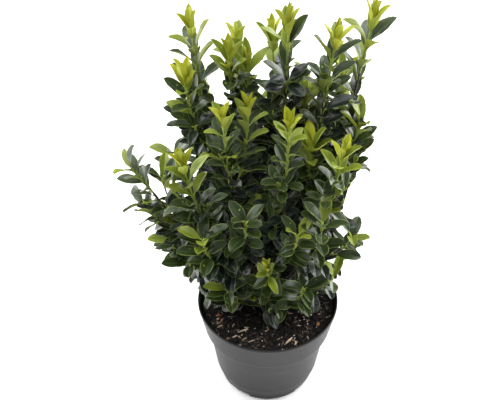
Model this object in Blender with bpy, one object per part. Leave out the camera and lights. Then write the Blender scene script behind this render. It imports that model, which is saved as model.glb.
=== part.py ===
"""Potted Japanese spindle: an evergreen shrub of upright shoots in a round nursery pot.

Metres, +Z up. The origin is the centre of the pot's flat underside. The front of the plant faces -Y.

The plant is built the way it grows. One short woody crown stem stands in the middle of the soil.
Bare boughs leave it all round and turn upright, and each one ends where its leafy shoot begins.
The leaves stand in opposite pairs, and each pair is turned a quarter turn from the pair below it.
"""

import math
from collections import namedtuple

import bmesh
import bpy
import numpy as np
from mathutils import Matrix, Vector

MM = 0.001

# Clearance between solids that touch on the real plant
CLEARANCE = 0.3 * MM

# Pot: outer radius and height of each level of the wall
POT_HEIGHT = 140 * MM
RIM_RADIUS = 95 * MM
COLLAR_HEIGHT = 43 * MM
COLLAR_FOOT_RADIUS = 87 * MM
BODY_TOP_RADIUS = 82 * MM
FOOT_BEND_HEIGHT = 24 * MM
FOOT_BEND_RADIUS = 71.5 * MM
UNDERSIDE_RADIUS = 64.5 * MM
POT_WALL = 2.0 * MM
POT_FLOOR = 8.0 * MM
RIM_ROUNDING = 0.7 * MM
POT_SEGMENTS = 40

# Drainage notches cut into the lower edge of the pot
NOTCH_COUNT = 4
FIRST_NOTCH_AZIMUTH = math.radians(-128)
NOTCH_WIDTH = 30 * MM
NOTCH_HEIGHT = 6 * MM
NOTCH_DEPTH = 7 * MM

# Potting soil: it fills the pot to a little below the rim
SOIL_TOP = 129 * MM
SOIL_SWELL = 2.5 * MM
SOIL_SEAT_RADIUS = 21 * MM
SOIL_RINGS = 4

# Crown stem: the woody foot that all the boughs leave from
CROWN_HEIGHT = 42 * MM
CROWN_TOP_RADIUS = 12 * MM
CROWN_FLARE = 5 * MM
CROWN_FLARE_FADE = 4.5
CROWN_BUTTRESS = 0.12
CROWN_DOME = 2 * MM
CROWN_SIDES = 12
CROWN_RINGS = 6

# Boughs: bare tapering limbs from the crown stem to the first leaves
BOUGH_LENGTH = 72 * MM
BOUGH_FOOT_RADIUS = 2.7 * MM
BOUGH_TIP_RADIUS = 2.1 * MM
BOUGH_SIDES = 6
BOUGH_RINGS = 5

# Stems of the leafy shoots
STEM_FOOT_RADIUS = 2.0 * MM
STEM_TIP_RADIUS = 1.1 * MM
STEM_SIDES = 3
STEM_STEP = 38 * MM
FORK_FOOT_RADIUS = 1.5 * MM

# Line of a main shoot: how far from the axis it starts, in crown stem radii; how much of its reach and of
# its rise it makes on leaving; and how much of its rise it is straight below its tip
START_OFFSET = 0.35
LEAVING_REACH = 0.50
LEAVING_RISE = 0.16
LOW_LEAVING_REACH = 0.60
LOW_LEAVING_RISE = 0.20
STRAIGHT_SHARE = 0.42

# Line of a fork: it leaves this far below its tip, and lower by so much of its distance from the main shoot
FORK_DROP = 70 * MM
FORK_SPREAD = 1.7
FORK_ABOVE_BOUGH = 8 * MM
FORK_BEND = 0.4

# Feet that a mass may take on the crown stem: shares of its height, and turns away from its tip's side
BOUGH_FEET = (0.97, 0.88, 0.79, 0.70, 0.61, 0.52, 0.43)
LOW_FEET = (0.36, 0.28, 0.20, 0.44)
FOOT_TURNS = (0, 0.22, -0.22, 0.44, -0.44)
LINE_GAP = 6.6 * MM

# Leaves: the solids carry fewer and larger leaves than the living plant
NODE_SPACING = 18.5 * MM
LOW_NODE_SPACING = 14 * MM
FIRST_NODE = 7 * MM
FIRST_FORK_NODE = 19 * MM
LEAF_WIDTH_SHARE = 0.62
LEAF_THICKNESS = 1.2 * MM
LEAF_FOLD = 0.30
LOW_LEAF_SHARE = 0.80
LEAF_SIZES_TRIED = (1.0, 0.84, 0.68)

# Distance below the shoot's tip, leaf length there, and degrees between the leaf and its stem
LEAF_STAGES = (
    (0 * MM, 26 * MM, 14),
    (20 * MM, 37 * MM, 27),
    (60 * MM, 46 * MM, 37),
    (160 * MM, 52 * MM, 50),
    (300 * MM, 52 * MM, 66),
)

# Differences between one leaf and the next, either way of the mean: radians, or a share of the length
TURN_SPREAD = 0.20
TILT_SPREAD = 0.14
ROLL_SPREAD = 0.25
LENGTH_SPREAD = 0.08
DROOP_RANGE = (0.05, 0.35)

# Room that a leaf keeps: to the next leaf, to its mass's limits, and to a limb, the soil or the pot
LEAF_GAP = 2.5 * MM
CELL_MARGIN = 0.5 * MM
LIMB_MARGIN = 1.2 * MM
LINE_SAMPLE = 2 * MM

# A mass of leafy shoots: the tip of its main shoot, how far that tip leans outwards in degrees, and the
# tips of the other shoots that fork from it
Mass = namedtuple("Mass", "name tip lean forks")

# Masses on boughs, from the left of the plant round to its back
BOUGH_MASSES = (
    Mass("left_tall", (-0.089, 0.030, 0.540), 6, ((-0.095, -0.010, 0.494), (-0.086, 0.040, 0.440))),
    Mass("left_arm", (-0.163, -0.020, 0.380), 34, ((-0.132, 0.018, 0.336), (-0.112, -0.020, 0.290))),
    Mass("centre_left", (-0.040, 0.062, 0.502), 4, ((-0.048, 0.024, 0.506), (-0.026, 0.036, 0.484))),
    Mass("mid_left", (-0.054, -0.045, 0.472), 4, ((-0.026, -0.012, 0.454), (-0.029, -0.085, 0.352))),
    Mass("front_left", (-0.098, -0.070, 0.426), 10, ((-0.078, -0.088, 0.330),)),
    Mass("centre_tall", (0.018, 0.020, 0.549), 1, ((0.002, 0.055, 0.508), (0.040, 0.030, 0.445))),
    Mass("front_centre", (0.018, -0.060, 0.466), 2, ((0.030, -0.092, 0.340), (-0.004, -0.094, 0.285))),
    Mass("right_mid", (0.068, 0.000, 0.542), 6, ((0.046, -0.024, 0.410),)),
    Mass("right_tall", (0.111, 0.035, 0.545), 9, ((0.084, 0.052, 0.460),)),
    Mass("front_right", (0.078, -0.060, 0.430), 8, ((0.058, -0.088, 0.356), (0.094, -0.070, 0.322))),
    Mass("right_side", (0.102, -0.002, 0.432), 9, ((0.100, -0.030, 0.350),)),
    Mass("back_mid", (0.048, 0.092, 0.437), 4, ((0.092, 0.092, 0.405), (0.066, 0.122, 0.330))),
    Mass("back_left", (-0.080, 0.092, 0.388), 8, ((-0.118, 0.056, 0.345), (-0.088, 0.112, 0.310))),
    Mass("back_centre", (-0.012, 0.112, 0.388), 6, ((-0.036, 0.128, 0.320), (0.018, 0.132, 0.330))),
    Mass("back_right", (0.094, 0.062, 0.345), 9, ((0.096, 0.030, 0.290),)),
)

# Short masses that leave the crown stem directly and hang over the soil
LOW_MASSES = (
    Mass("low_front", (-0.004, -0.070, 0.240), 20, ()),
    Mass("low_right", (0.080, -0.054, 0.232), 26, ()),
    Mass("low_far_left", (-0.100, -0.040, 0.245), 26, ()),
    Mass("low_inner_left", (-0.052, -0.070, 0.228), 24, ()),
    Mass("low_inner_right", (0.042, -0.076, 0.236), 22, ()),
    Mass("low_side_right", (0.104, 0.002, 0.250), 26, ()),
    Mass("low_back", (0.014, 0.100, 0.250), 24, ()),
    Mass("low_back_left", (-0.070, 0.080, 0.240), 26, ()),
    Mass("low_back_right", (0.078, 0.078, 0.240), 26, ()),
    Mass("low_side_left", (-0.122, 0.004, 0.240), 30, ()),
)

UP = Vector((0, 0, 1))


def clear_scene():
    for obj in list(bpy.data.objects):
        bpy.data.objects.remove(obj)


def plain_material(name, colour, roughness):
    material = bpy.data.materials.new(name)
    material.use_nodes = True
    shader = material.node_tree.nodes["Principled BSDF"]
    shader.inputs["Base Color"].default_value = (*colour, 1)
    shader.inputs["Roughness"].default_value = roughness
    shader.inputs["Metallic"].default_value = 0
    return material


def new_object(name, points, faces, material=None, collection=None):
    mesh = bpy.data.meshes.new(name)
    mesh.from_pydata([tuple(p) for p in points], [], faces)
    mesh.update()
    if material:
        mesh.materials.append(material)
    obj = bpy.data.objects.new(name, mesh)
    (collection or bpy.context.scene.collection).objects.link(obj)
    return obj


def apply_modifiers(obj):
    """Replace the object's mesh by what its modifiers make of it."""
    bpy.context.view_layer.update()
    graph = bpy.context.evaluated_depsgraph_get()
    made = bpy.data.meshes.new_from_object(obj.evaluated_get(graph))
    old = obj.data
    obj.modifiers.clear()
    obj.data = made
    bpy.data.meshes.remove(old)


def face_islands(mesh):
    """The mesh's faces in groups that hang together by their edges."""
    left = set(mesh.faces)
    while left:
        front = [left.pop()]
        island = list(front)
        while front:
            face = front.pop()
            for edge in face.edges:
                for other in edge.link_faces:
                    if other in left:
                        left.remove(other)
                        front.append(other)
                        island.append(other)
        yield island


def island_volume(island):
    """Volume inside a group of faces, by the pyramids from the origin to each triangle of them."""
    total = 0.0
    for face in island:
        corners = [v.co for v in face.verts]
        for b, c in zip(corners[1:], corners[2:]):
            total += corners[0].dot(b.cross(c)) / 6
    return total


def keep_main_solid(obj):
    """Drop loose scraps and fill sealed hollows: only the outer skin of the largest solid stays."""
    mesh = bmesh.new()
    mesh.from_mesh(obj.data)
    islands = sorted(face_islands(mesh), key=island_volume)
    scraps = [face for island in islands[:-1] for face in island]
    if scraps:
        bmesh.ops.delete(mesh, geom=scraps, context="FACES")
        bmesh.ops.delete(mesh, geom=[v for v in mesh.verts if not v.link_faces], context="VERTS")
        mesh.to_mesh(obj.data)
    mesh.free()
    return len(islands) - 1


def chance(*keys):
    """A repeatable number from 0 to 1 for these whole numbers, so that no draw depends on another."""
    mixed = math.sin(sum((k + 1) * w for k, w in zip(keys, (12.9898, 78.233, 37.719, 94.673)))) * 43758.5453
    return mixed - math.floor(mixed)


def spread(low, high, *keys):
    return low + (high - low) * chance(*keys)


def ring_points(count, radius_at, height_at):
    """A ring of points about Z. Its radius and its height are functions of the angle."""
    angles = [2 * math.pi * i / count for i in range(count)]
    return [(radius_at(a) * math.cos(a), radius_at(a) * math.sin(a), height_at(a)) for a in angles]


def stacked_rings(name, first, rings, last, material):
    """A closed solid of rings, from a point on the axis at its first end to one at its last."""
    count = len(rings[0])
    points = [first, *(point for ring in rings for point in ring), last]
    faces = []
    for i in range(count):
        j = (i + 1) % count
        faces.append((0, 1 + i, 1 + j))
        for ring in range(len(rings) - 1):
            upper = 1 + ring * count
            lower = upper + count
            faces.append((upper + i, lower + i, lower + j, upper + j))
        end = 1 + (len(rings) - 1) * count
        faces.append((end + i, len(points) - 1, end + j))
    return new_object(name, points, faces, material)


def pot_inner_radius(height):
    """Radius of the inner wall. Behind the collar's step the wall slopes over the wall's thickness."""
    collar_foot = POT_HEIGHT - COLLAR_HEIGHT
    heights = (0, FOOT_BEND_HEIGHT, collar_foot, collar_foot + POT_WALL, POT_HEIGHT)
    radii = (
        UNDERSIDE_RADIUS - POT_WALL,
        FOOT_BEND_RADIUS - POT_WALL,
        BODY_TOP_RADIUS - POT_WALL,
        COLLAR_FOOT_RADIUS - POT_WALL,
        RIM_RADIUS - POT_WALL,
    )
    return float(np.interp(height, heights, radii))


def build_pot(material):
    """The pot: one turned wall and floor, less the drainage notches in its lower edge."""
    collar_foot = POT_HEIGHT - COLLAR_HEIGHT
    bends = (FOOT_BEND_HEIGHT, collar_foot, collar_foot + POT_WALL)
    profile = [(pot_inner_radius(h), h) for h in (POT_FLOOR, *bends, POT_HEIGHT - RIM_ROUNDING)]
    profile += [
        (pot_inner_radius(POT_HEIGHT) + RIM_ROUNDING, POT_HEIGHT),
        (RIM_RADIUS - RIM_ROUNDING, POT_HEIGHT),
        (RIM_RADIUS, POT_HEIGHT - RIM_ROUNDING),
        (COLLAR_FOOT_RADIUS, collar_foot),
        (BODY_TOP_RADIUS, collar_foot),
        (FOOT_BEND_RADIUS, FOOT_BEND_HEIGHT),
        (UNDERSIDE_RADIUS, 0),
    ]
    rings = [ring_points(POT_SEGMENTS, lambda a, r=r: r, lambda a, h=h: h) for r, h in profile]
    pot = stacked_rings("pot", (0, 0, POT_FLOOR), rings, (0, 0, 0), material)
    pot.data.shade_smooth()
    pot.data.set_sharp_from_angle(angle=math.radians(40))
    for index in range(NOTCH_COUNT):
        cut_notch(pot, FIRST_NOTCH_AZIMUTH + index * 2 * math.pi / NOTCH_COUNT, index)


def cut_notch(pot, azimuth, index):
    """Cut a shallow box into the pot's foot. It stays below the floor, so no hole opens inside."""
    bpy.ops.mesh.primitive_cube_add(size=1)
    cutter = bpy.context.object
    cutter.name = f"notch_cutter_{index}"
    cutter.data.transform(Matrix.Diagonal((4 * NOTCH_DEPTH, NOTCH_WIDTH, 2 * NOTCH_HEIGHT, 1)))
    cutter.rotation_euler = (0, 0, azimuth)
    middle = UNDERSIDE_RADIUS + NOTCH_DEPTH
    cutter.location = (middle * math.cos(azimuth), middle * math.sin(azimuth), 0)
    cutter.hide_render = True
    cutter.display_type = "WIRE"
    cut = pot.modifiers.new(f"notch_{index}", "BOOLEAN")
    cut.operation = "DIFFERENCE"
    cut.object = cutter


def soil_height(radius, angle):
    """Height of the soil's surface: level in the middle, then gently uneven, and lower at the pot's wall."""
    beyond = max(0.0, (radius - SOIL_SEAT_RADIUS) / (pot_inner_radius(SOIL_TOP) - SOIL_SEAT_RADIUS))
    waves = 0.6 * math.sin(3 * angle + 0.7) + 0.4 * math.sin(5 * angle + 2.1 + 3 * beyond)
    return SOIL_TOP + SOIL_SWELL * beyond * (0.5 * waves - 0.6 * beyond)


def build_soil(material):
    """The potting soil: a plug that follows the pot's inner wall and stands clear of it by the clearance."""
    collar_foot = POT_HEIGHT - COLLAR_HEIGHT
    wall_gap = CLEARANCE * 1.5
    edge = pot_inner_radius(SOIL_TOP - SOIL_SWELL * 1.2) - wall_gap
    rings = []
    for ring in range(SOIL_RINGS):
        radius = SOIL_SEAT_RADIUS + (edge - SOIL_SEAT_RADIUS) * ring / (SOIL_RINGS - 1)
        rings.append(ring_points(POT_SEGMENTS, lambda a: radius, lambda a: soil_height(radius, a)))
    underside = POT_FLOOR + CLEARANCE
    for height in (collar_foot + POT_WALL, collar_foot, FOOT_BEND_HEIGHT, underside):
        radius = pot_inner_radius(height) - wall_gap
        rings.append(ring_points(POT_SEGMENTS, lambda a: radius, lambda a: height))
    stacked_rings("potting_soil", (0, 0, SOIL_TOP), rings, (0, 0, underside), material)


def crown_radius(share, angle):
    """Radius of the crown stem from its foot, share 0, to its top, share 1.

    The root flare fades upwards, four buttresses run into it, and the top narrows into a dome.
    """
    flare = CROWN_FLARE * math.exp(-CROWN_FLARE_FADE * share)
    buttress = 1 + CROWN_BUTTRESS * (1 - share) * math.cos(4 * angle + 0.6)
    return (CROWN_TOP_RADIUS + flare) * buttress * (1 - 0.35 * share**6)


def crown_mesh(name, grow, material):
    """The crown stem's shape, grown all round by the given amount."""
    base = SOIL_TOP + CLEARANCE
    rings = []
    for ring in range(CROWN_RINGS, -1, -1):
        share = ring / CROWN_RINGS
        height = base + CROWN_HEIGHT * share
        rings.append(ring_points(CROWN_SIDES, lambda a: crown_radius(share, a) + grow, lambda a: height))
    top = (0, 0, base + CROWN_HEIGHT + CROWN_DOME + grow)
    return stacked_rings(name, top, rings, (0, 0, base - grow), material)


def bezier(p0, p1, p2, p3, t):
    u = 1 - t
    return p0 * u**3 + p1 * (3 * u * u * t) + p2 * (3 * u * t * t) + p3 * t**3


class Path:
    """A smooth curve that can be read by the distance along it."""

    def __init__(self, p0, p1, p2, p3, count=80):
        self.points = np.array([bezier(p0, p1, p2, p3, i / (count - 1)) for i in range(count)], float)
        steps = np.linalg.norm(np.diff(self.points, axis=0), axis=1)
        self.at = np.concatenate([[0], np.cumsum(steps)])
        self.length = float(self.at[-1])

    def point(self, s):
        return Vector([np.interp(s, self.at, self.points[:, k]) for k in range(3)])

    def tangent(self, s):
        step = 1 * MM
        return (self.point(min(s + step, self.length)) - self.point(max(s - step, 0))).normalized()


def main_path(mass, low, foot_share, foot_turn):
    """The line of a mass's main shoot from inside the crown stem to its tip: outwards, then upright."""
    tip = Vector(mass.tip)
    reach = math.hypot(tip.x, tip.y)
    outward = Vector((tip.x, tip.y, 0)).normalized()
    start_way = Matrix.Rotation(foot_turn, 3, "Z") @ outward
    foot_height = SOIL_TOP + CROWN_HEIGHT * foot_share
    start = UP * foot_height + start_way * (START_OFFSET * CROWN_TOP_RADIUS)
    rise = tip.z - start.z
    leaving = start_way * reach * (LOW_LEAVING_REACH if low else LEAVING_REACH)
    leaving += UP * rise * (LOW_LEAVING_RISE if low else LEAVING_RISE)
    lean = math.radians(mass.lean)
    tip_way = outward * math.sin(lean) + UP * math.cos(lean)
    return Path(start, start + leaving, tip - tip_way * (STRAIGHT_SHARE * rise), tip)


def fork_path(main, tip):
    """The line of a shoot that forks from the main one: the wider it stands from it, the lower it leaves."""
    tip = Vector(tip)
    beside = main.point(np.interp(tip.z, main.points[:, 2], main.at))
    height = tip.z - FORK_DROP - FORK_SPREAD * math.hypot(tip.x - beside.x, tip.y - beside.y)
    start_at = max(np.interp(height, main.points[:, 2], main.at), BOUGH_LENGTH + FORK_ABOVE_BOUGH)
    start = main.point(start_at)
    length = (tip - start).length
    way = (tip - start).normalized()
    leaving = way.lerp(main.tangent(start_at), 0.3).normalized()
    arriving = UP.lerp(way, 0.15)
    bend = length * FORK_BEND
    return Path(start, start + leaving * bend, tip - arriving * bend, tip)


def tube(name, path, s0, s1, r0, r1, sides, rings, turn=0):
    """A tapering tube along a path, with flat ends square to it. Turn sets its flat sides about its line."""
    points = []
    for ring in range(rings + 1):
        s = s0 + (s1 - s0) * ring / rings
        radius = r0 + (r1 - r0) * ring / rings
        along = path.tangent(s)
        u = (Vector((1, 0, 0)) - along * along.x).normalized()
        v = along.cross(u)
        for i in range(sides):
            angle = 2 * math.pi * (i + 0.5) / sides + turn
            points.append(path.point(s) + (u * math.cos(angle) + v * math.sin(angle)) * radius)
    faces = [tuple(reversed(range(sides))), tuple(rings * sides + i for i in range(sides))]
    for ring in range(rings):
        low = ring * sides
        for i in range(sides):
            j = (i + 1) % sides
            faces.append((low + i, low + j, low + sides + j, low + sides + i))
    return new_object(name, points, faces)


def line_points(path):
    """Points along a path, evenly spaced."""
    s = np.linspace(0, path.length, max(2, int(path.length / LINE_SAMPLE)))
    return np.stack([np.interp(s, path.at, path.points[:, k]) for k in range(3)], 1)


def outside_crown(points):
    """The points of a line where a bough on it isn't wholly inside the crown stem."""
    radius = np.hypot(points[:, 0], points[:, 1])
    height = points[:, 2] - SOIL_TOP
    return points[(radius > CROWN_TOP_RADIUS - BOUGH_FOOT_RADIUS) | (height > CROWN_HEIGHT)]


def smallest_gap(points, others):
    return float(np.linalg.norm(points[:, None, :] - others[None, :, :], axis=2).min())


def place_masses(masses):
    """The lines of every mass, its main shoot's first and then those of its forks.

    The masses nearest the middle choose first. Each takes the highest foot from which its lines keep the
    gap to all the lines already placed, or the one with the widest gap if none keeps it.
    """
    order = sorted(range(len(masses)), key=lambda i: (masses[i][1], math.hypot(*masses[i][0].tip[:2])))
    placed = np.array([[0, 0, -1.0]])
    lines = [None] * len(masses)
    for index in order:
        mass, low = masses[index]
        best = None
        for share in LOW_FEET if low else BOUGH_FEET:
            for turn in FOOT_TURNS:
                main = main_path(mass, low, share, turn)
                paths = [main, *(fork_path(main, tip) for tip in mass.forks)]
                points = outside_crown(np.concatenate([line_points(p) for p in paths]))
                gap = smallest_gap(points, placed)
                if best is None or min(gap, LINE_GAP) > min(best[0], LINE_GAP):
                    best = (gap, paths, points)
        lines[index] = best[1]
        placed = np.concatenate([placed, best[2]])
        if best[0] < LINE_GAP:
            print(f"{mass.name} stands {best[0] * 1000:.1f} mm from its neighbour")
    return lines


def cut_clear(limb, crown_cutter):
    """Cut from the limb what is inside the crown stem or closer to it than the clearance."""
    cut = limb.modifiers.new("clear_of_crown", "BOOLEAN")
    cut.operation = "DIFFERENCE"
    cut.solver = "MANIFOLD"
    cut.object = crown_cutter
    apply_modifiers(limb)
    keep_main_solid(limb)


class Space:
    """Which mass each place belongs to: the one whose lines are nearest."""

    def __init__(self, lines):
        points = [np.concatenate([line_points(path) for path in paths]) for paths in lines]
        self.points = np.concatenate(points)
        self.owner = np.concatenate([np.full(len(own), i) for i, own in enumerate(points)])

    def holds(self, owner, tested):
        """True if all the points are nearer to the owner's lines than to any other's, with a margin."""
        gaps = np.linalg.norm(tested[:, None, :] - self.points[None, :, :], axis=2)
        own = gaps[:, self.owner == owner].min(1)
        other = gaps[:, self.owner != owner].min(1)
        return bool((other - own > 2 * CELL_MARGIN).all())


def clear_of_limbs(tested, bough_line):
    """True if the points stay off the mass's own bough, the crown stem, the soil and the pot."""
    if bough_line is not None and smallest_gap(tested, bough_line) < BOUGH_FOOT_RADIUS + LIMB_MARGIN:
        return False
    radius = np.hypot(tested[:, 0], tested[:, 1])
    height = tested[:, 2]
    beside_crown = height < SOIL_TOP + CROWN_HEIGHT + CROWN_DOME + LIMB_MARGIN
    if (radius[beside_crown] < CROWN_TOP_RADIUS + CROWN_FLARE + LIMB_MARGIN).any():
        return False
    if (height < SOIL_TOP + SOIL_SWELL + LIMB_MARGIN).any():
        return False
    beside_rim = height < POT_HEIGHT + LIMB_MARGIN
    return not (radius[beside_rim] > pot_inner_radius(SOIL_TOP) - LIMB_MARGIN).any()


def leaf_corners(foot, along, face, length, droop):
    """The five corners of a leaf: foot, tip, its two sides, and the keel under its middle.

    The blade is folded up along its midrib, and its tip is turned down by the droop, in radians.
    """
    side = along.cross(face).normalized()
    half = length * LEAF_WIDTH_SHARE / 2
    middle = foot + along * (length / 2)
    tip = foot + along * (length * math.cos(droop)) - face * (length * math.sin(droop))
    sides = [middle + side * (half * k) + face * (half * LEAF_FOLD) for k in (-1, 1)]
    keel = foot.lerp(tip, 0.5) - face * LEAF_THICKNESS
    return [foot, tip, *sides, keel]


# Corners: 0 foot, 1 tip, 2 and 3 sides, 4 keel
LEAF_FACES = ((0, 3, 1), (1, 2, 0), (3, 0, 4), (1, 3, 4), (2, 1, 4), (0, 2, 4))


def leaf_samples(corners):
    """Points spread over both halves of a leaf's blade from its foot to its tip, nine rows of six."""
    foot, tip, left, right, _ = (np.array(c) for c in corners)
    points = []
    for along in np.linspace(0.12, 1, 9):
        rib = foot + (tip - foot) * along
        reach = min(along, 1 - along) * 2
        for side in (left, right):
            rim = rib + (side - (foot + tip) / 2) * reach
            points += [rib, (rib + rim) / 2, rim]
    return np.array(points)


def either_way(amount, *keys):
    return spread(-amount, amount, *keys)


def leaf_poses(key, path, first_node, first_turn, low):
    """The leaves of one stem: a pair at each node, each pair turned a quarter turn from the last.

    Towards the tip the leaves are shorter and closer to the stem. Yields foot, way, face, length, droop.
    """
    below_tip, lengths, openings = zip(*LEAF_STAGES)
    count = max(2, round((path.length - first_node) / (LOW_NODE_SPACING if low else NODE_SPACING)) + 1)
    for node, s in enumerate(np.linspace(first_node, path.length - 1 * MM, count)):
        stem_way = path.tangent(s)
        u = (Vector((1, 0, 0)) - stem_way * stem_way.x).normalized()
        v = stem_way.cross(u)
        from_tip = path.length - s
        opening = math.radians(np.interp(from_tip, below_tip, openings))
        mean_length = np.interp(from_tip, below_tip, lengths) * (LOW_LEAF_SHARE if low else 1)
        for half in range(2):
            own = (key, node, half)
            turn = first_turn + (node / 2 + half) * math.pi + either_way(TURN_SPREAD, *own)
            tilt = opening + either_way(TILT_SPREAD, *own, 5)
            radial = u * math.cos(turn) + v * math.sin(turn)
            along = (stem_way * math.cos(tilt) + radial * math.sin(tilt)).normalized()
            face = (stem_way * math.sin(tilt) - radial * math.cos(tilt)).normalized()
            roll = Matrix.Rotation(either_way(ROLL_SPREAD, *own, 9), 3, along)
            length = mean_length * (1 + either_way(LENGTH_SPREAD, *own, 13))
            yield path.point(s), along, roll @ face, length, spread(*DROOP_RANGE, *own, 11)


def grow_leaves(name, owner, paths, first_nodes, turns, space, bough_line, parts):
    """Add every leaf of a mass that finds room, at the largest of the sizes tried that does."""
    count = 0
    grown = np.array([[0, 0, -1.0]])
    for i, path in enumerate(paths):
        others = np.concatenate([grown[:1], *(line_points(other) for other in paths if other is not path)])
        poses = leaf_poses(owner * 7 + i, path, first_nodes[i], turns[i], bough_line is None)
        for *pose, length, droop in poses:
            for size in LEAF_SIZES_TRIED:
                corners = leaf_corners(*pose, length * size, droop)
                tested = leaf_samples(corners)
                blade = tested[12:]
                apart = smallest_gap(blade, np.concatenate([grown, others])) > LEAF_GAP
                if apart and space.holds(owner, tested) and clear_of_limbs(tested, bough_line):
                    new_object(f"{name}_leaf_{count}", corners, LEAF_FACES, None, parts)
                    grown = np.concatenate([grown, blade])
                    count += 1
                    break
    return count


def build_mass(name, owner, paths, start, space, bough_line, crown_cutter, material):
    """One mass: its main stem, the stems that fork from it and all their leaves, fused into one solid."""
    parts = bpy.data.collections.new(name + "_parts")
    bpy.context.scene.collection.children.link(parts)
    turns = [spread(0, math.pi / 2, owner, i) for i in range(len(paths))]
    main = paths[0]
    rings = round((main.length - start) / STEM_STEP)
    radii = (STEM_FOOT_RADIUS, STEM_TIP_RADIUS)
    mass = tube(name, main, start, main.length, *radii, STEM_SIDES, rings, turns[0])
    mass.data.materials.append(material)
    if bough_line is None:
        cut_clear(mass, crown_cutter)
    for i, fork in enumerate(paths[1:], 1):
        rings = max(2, round(fork.length / STEM_STEP))
        radii = (FORK_FOOT_RADIUS, STEM_TIP_RADIUS)
        stem = tube(f"{name}_fork_{i}", fork, 0, fork.length, *radii, STEM_SIDES, rings, turns[i])
        bpy.context.scene.collection.objects.unlink(stem)
        parts.objects.link(stem)
    first_nodes = [start + FIRST_NODE] + [FIRST_FORK_NODE] * (len(paths) - 1)
    count = grow_leaves(name, owner, paths, first_nodes, turns, space, bough_line, parts)
    union = mass.modifiers.new("leaves", "BOOLEAN")
    union.operation = "UNION"
    union.solver = "MANIFOLD"
    union.operand_type = "COLLECTION"
    union.collection = parts
    apply_modifiers(mass)
    scraps = keep_main_solid(mass)
    for obj in list(parts.objects):
        mesh = obj.data
        bpy.data.objects.remove(obj)
        bpy.data.meshes.remove(mesh)
    bpy.data.collections.remove(parts)
    print(f"{name}: {count} leaves, {scraps} loose scraps dropped")
    return count


def build_plant(bark, foliage):
    """The crown stem, the boughs and the leafy masses."""
    crown_mesh("crown_stem", 0, bark)
    crown_cutter = crown_mesh("crown_cutter", CLEARANCE, None)
    crown_cutter.hide_render = True
    crown_cutter.display_type = "WIRE"
    masses = [(mass, False) for mass in BOUGH_MASSES] + [(mass, True) for mass in LOW_MASSES]
    lines = place_masses(masses)
    space = Space(lines)
    total = 0
    for owner, (mass, low) in enumerate(masses):
        main = lines[owner][0]
        bough_line = None
        start = 0
        if not low:
            radii = (BOUGH_FOOT_RADIUS, BOUGH_TIP_RADIUS)
            bough = tube("bough_" + mass.name, main, 0, BOUGH_LENGTH, *radii, BOUGH_SIDES, BOUGH_RINGS)
            bough.data.materials.append(bark)
            cut_clear(bough, crown_cutter)
            start = BOUGH_LENGTH + CLEARANCE
            bough_line = line_points(main)[: int(BOUGH_LENGTH / LINE_SAMPLE)]
        name = "leaves_" + mass.name
        total += build_mass(name, owner, lines[owner], start, space, bough_line, crown_cutter, foliage)
    bpy.data.objects.remove(crown_cutter)
    print(f"{len(masses)} leafy masses with {total} leaves")


def main():
    clear_scene()
    pot_plastic = plain_material("pot_plastic", (0.115, 0.112, 0.110), 0.5)
    peat = plain_material("peat", (0.018, 0.014, 0.012), 0.95)
    bark = plain_material("bark", (0.055, 0.042, 0.030), 0.8)
    foliage = plain_material("foliage", (0.055, 0.120, 0.022), 0.4)
    build_pot(pot_plastic)
    build_soil(peat)
    build_plant(bark, foliage)


main()
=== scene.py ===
# %% [markdown]
# # A potted Japanese spindle
# This notebook dresses a CAD model of a small evergreen shrub in its pot. The CAD model gives the true
# sizes and the place of every limb. Here each leafy mass grows again from the same lines, with real leaves.
# The first cell loads the CAD model and keeps its box, which the leaves may pass by at most 7 mm.

# %% Load the CAD model
import math
from collections import namedtuple
from itertools import product

import bpy
import numpy as np
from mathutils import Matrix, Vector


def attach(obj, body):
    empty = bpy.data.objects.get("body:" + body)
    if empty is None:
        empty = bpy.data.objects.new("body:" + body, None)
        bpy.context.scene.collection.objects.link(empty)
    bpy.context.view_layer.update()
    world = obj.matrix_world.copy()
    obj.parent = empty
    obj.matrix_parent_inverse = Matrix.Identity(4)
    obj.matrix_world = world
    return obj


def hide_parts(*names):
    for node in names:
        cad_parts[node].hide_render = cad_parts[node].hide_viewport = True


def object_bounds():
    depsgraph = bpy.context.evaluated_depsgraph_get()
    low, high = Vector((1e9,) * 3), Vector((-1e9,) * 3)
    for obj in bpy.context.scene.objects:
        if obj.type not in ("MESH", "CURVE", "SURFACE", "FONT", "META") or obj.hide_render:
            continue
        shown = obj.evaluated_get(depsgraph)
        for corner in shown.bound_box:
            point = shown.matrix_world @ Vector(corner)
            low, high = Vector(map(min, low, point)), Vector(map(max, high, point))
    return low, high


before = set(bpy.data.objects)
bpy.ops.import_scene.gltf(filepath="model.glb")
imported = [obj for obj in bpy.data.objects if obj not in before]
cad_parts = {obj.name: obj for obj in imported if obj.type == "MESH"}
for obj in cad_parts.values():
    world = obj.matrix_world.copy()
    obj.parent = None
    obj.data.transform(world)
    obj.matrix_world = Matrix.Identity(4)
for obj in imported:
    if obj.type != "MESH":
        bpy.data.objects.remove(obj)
cad_box = [[float(v) for v in corner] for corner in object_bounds()]
MM = 0.001
print("CAD box, mm:", [[round(v / MM) for v in corner] for corner in cad_box])

# %% [markdown]
# ## Camera
# The photograph was taken from a little over a metre away with a lens of about 65 mm, looking well down on
# the plant. A camera at that place, and not just one with that picture width, gives the same slight
# tapering of the upright shoots.

# %% Camera
CAMERA_PLACE = (-0.02407, -0.84227, 1.04322)
CAMERA_DOWN = math.radians(40.867)


def add_object(name, data):
    """An object that shows the data, linked into the scene."""
    made = bpy.data.objects.new(name, data)
    bpy.context.scene.collection.objects.link(made)
    return made


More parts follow.
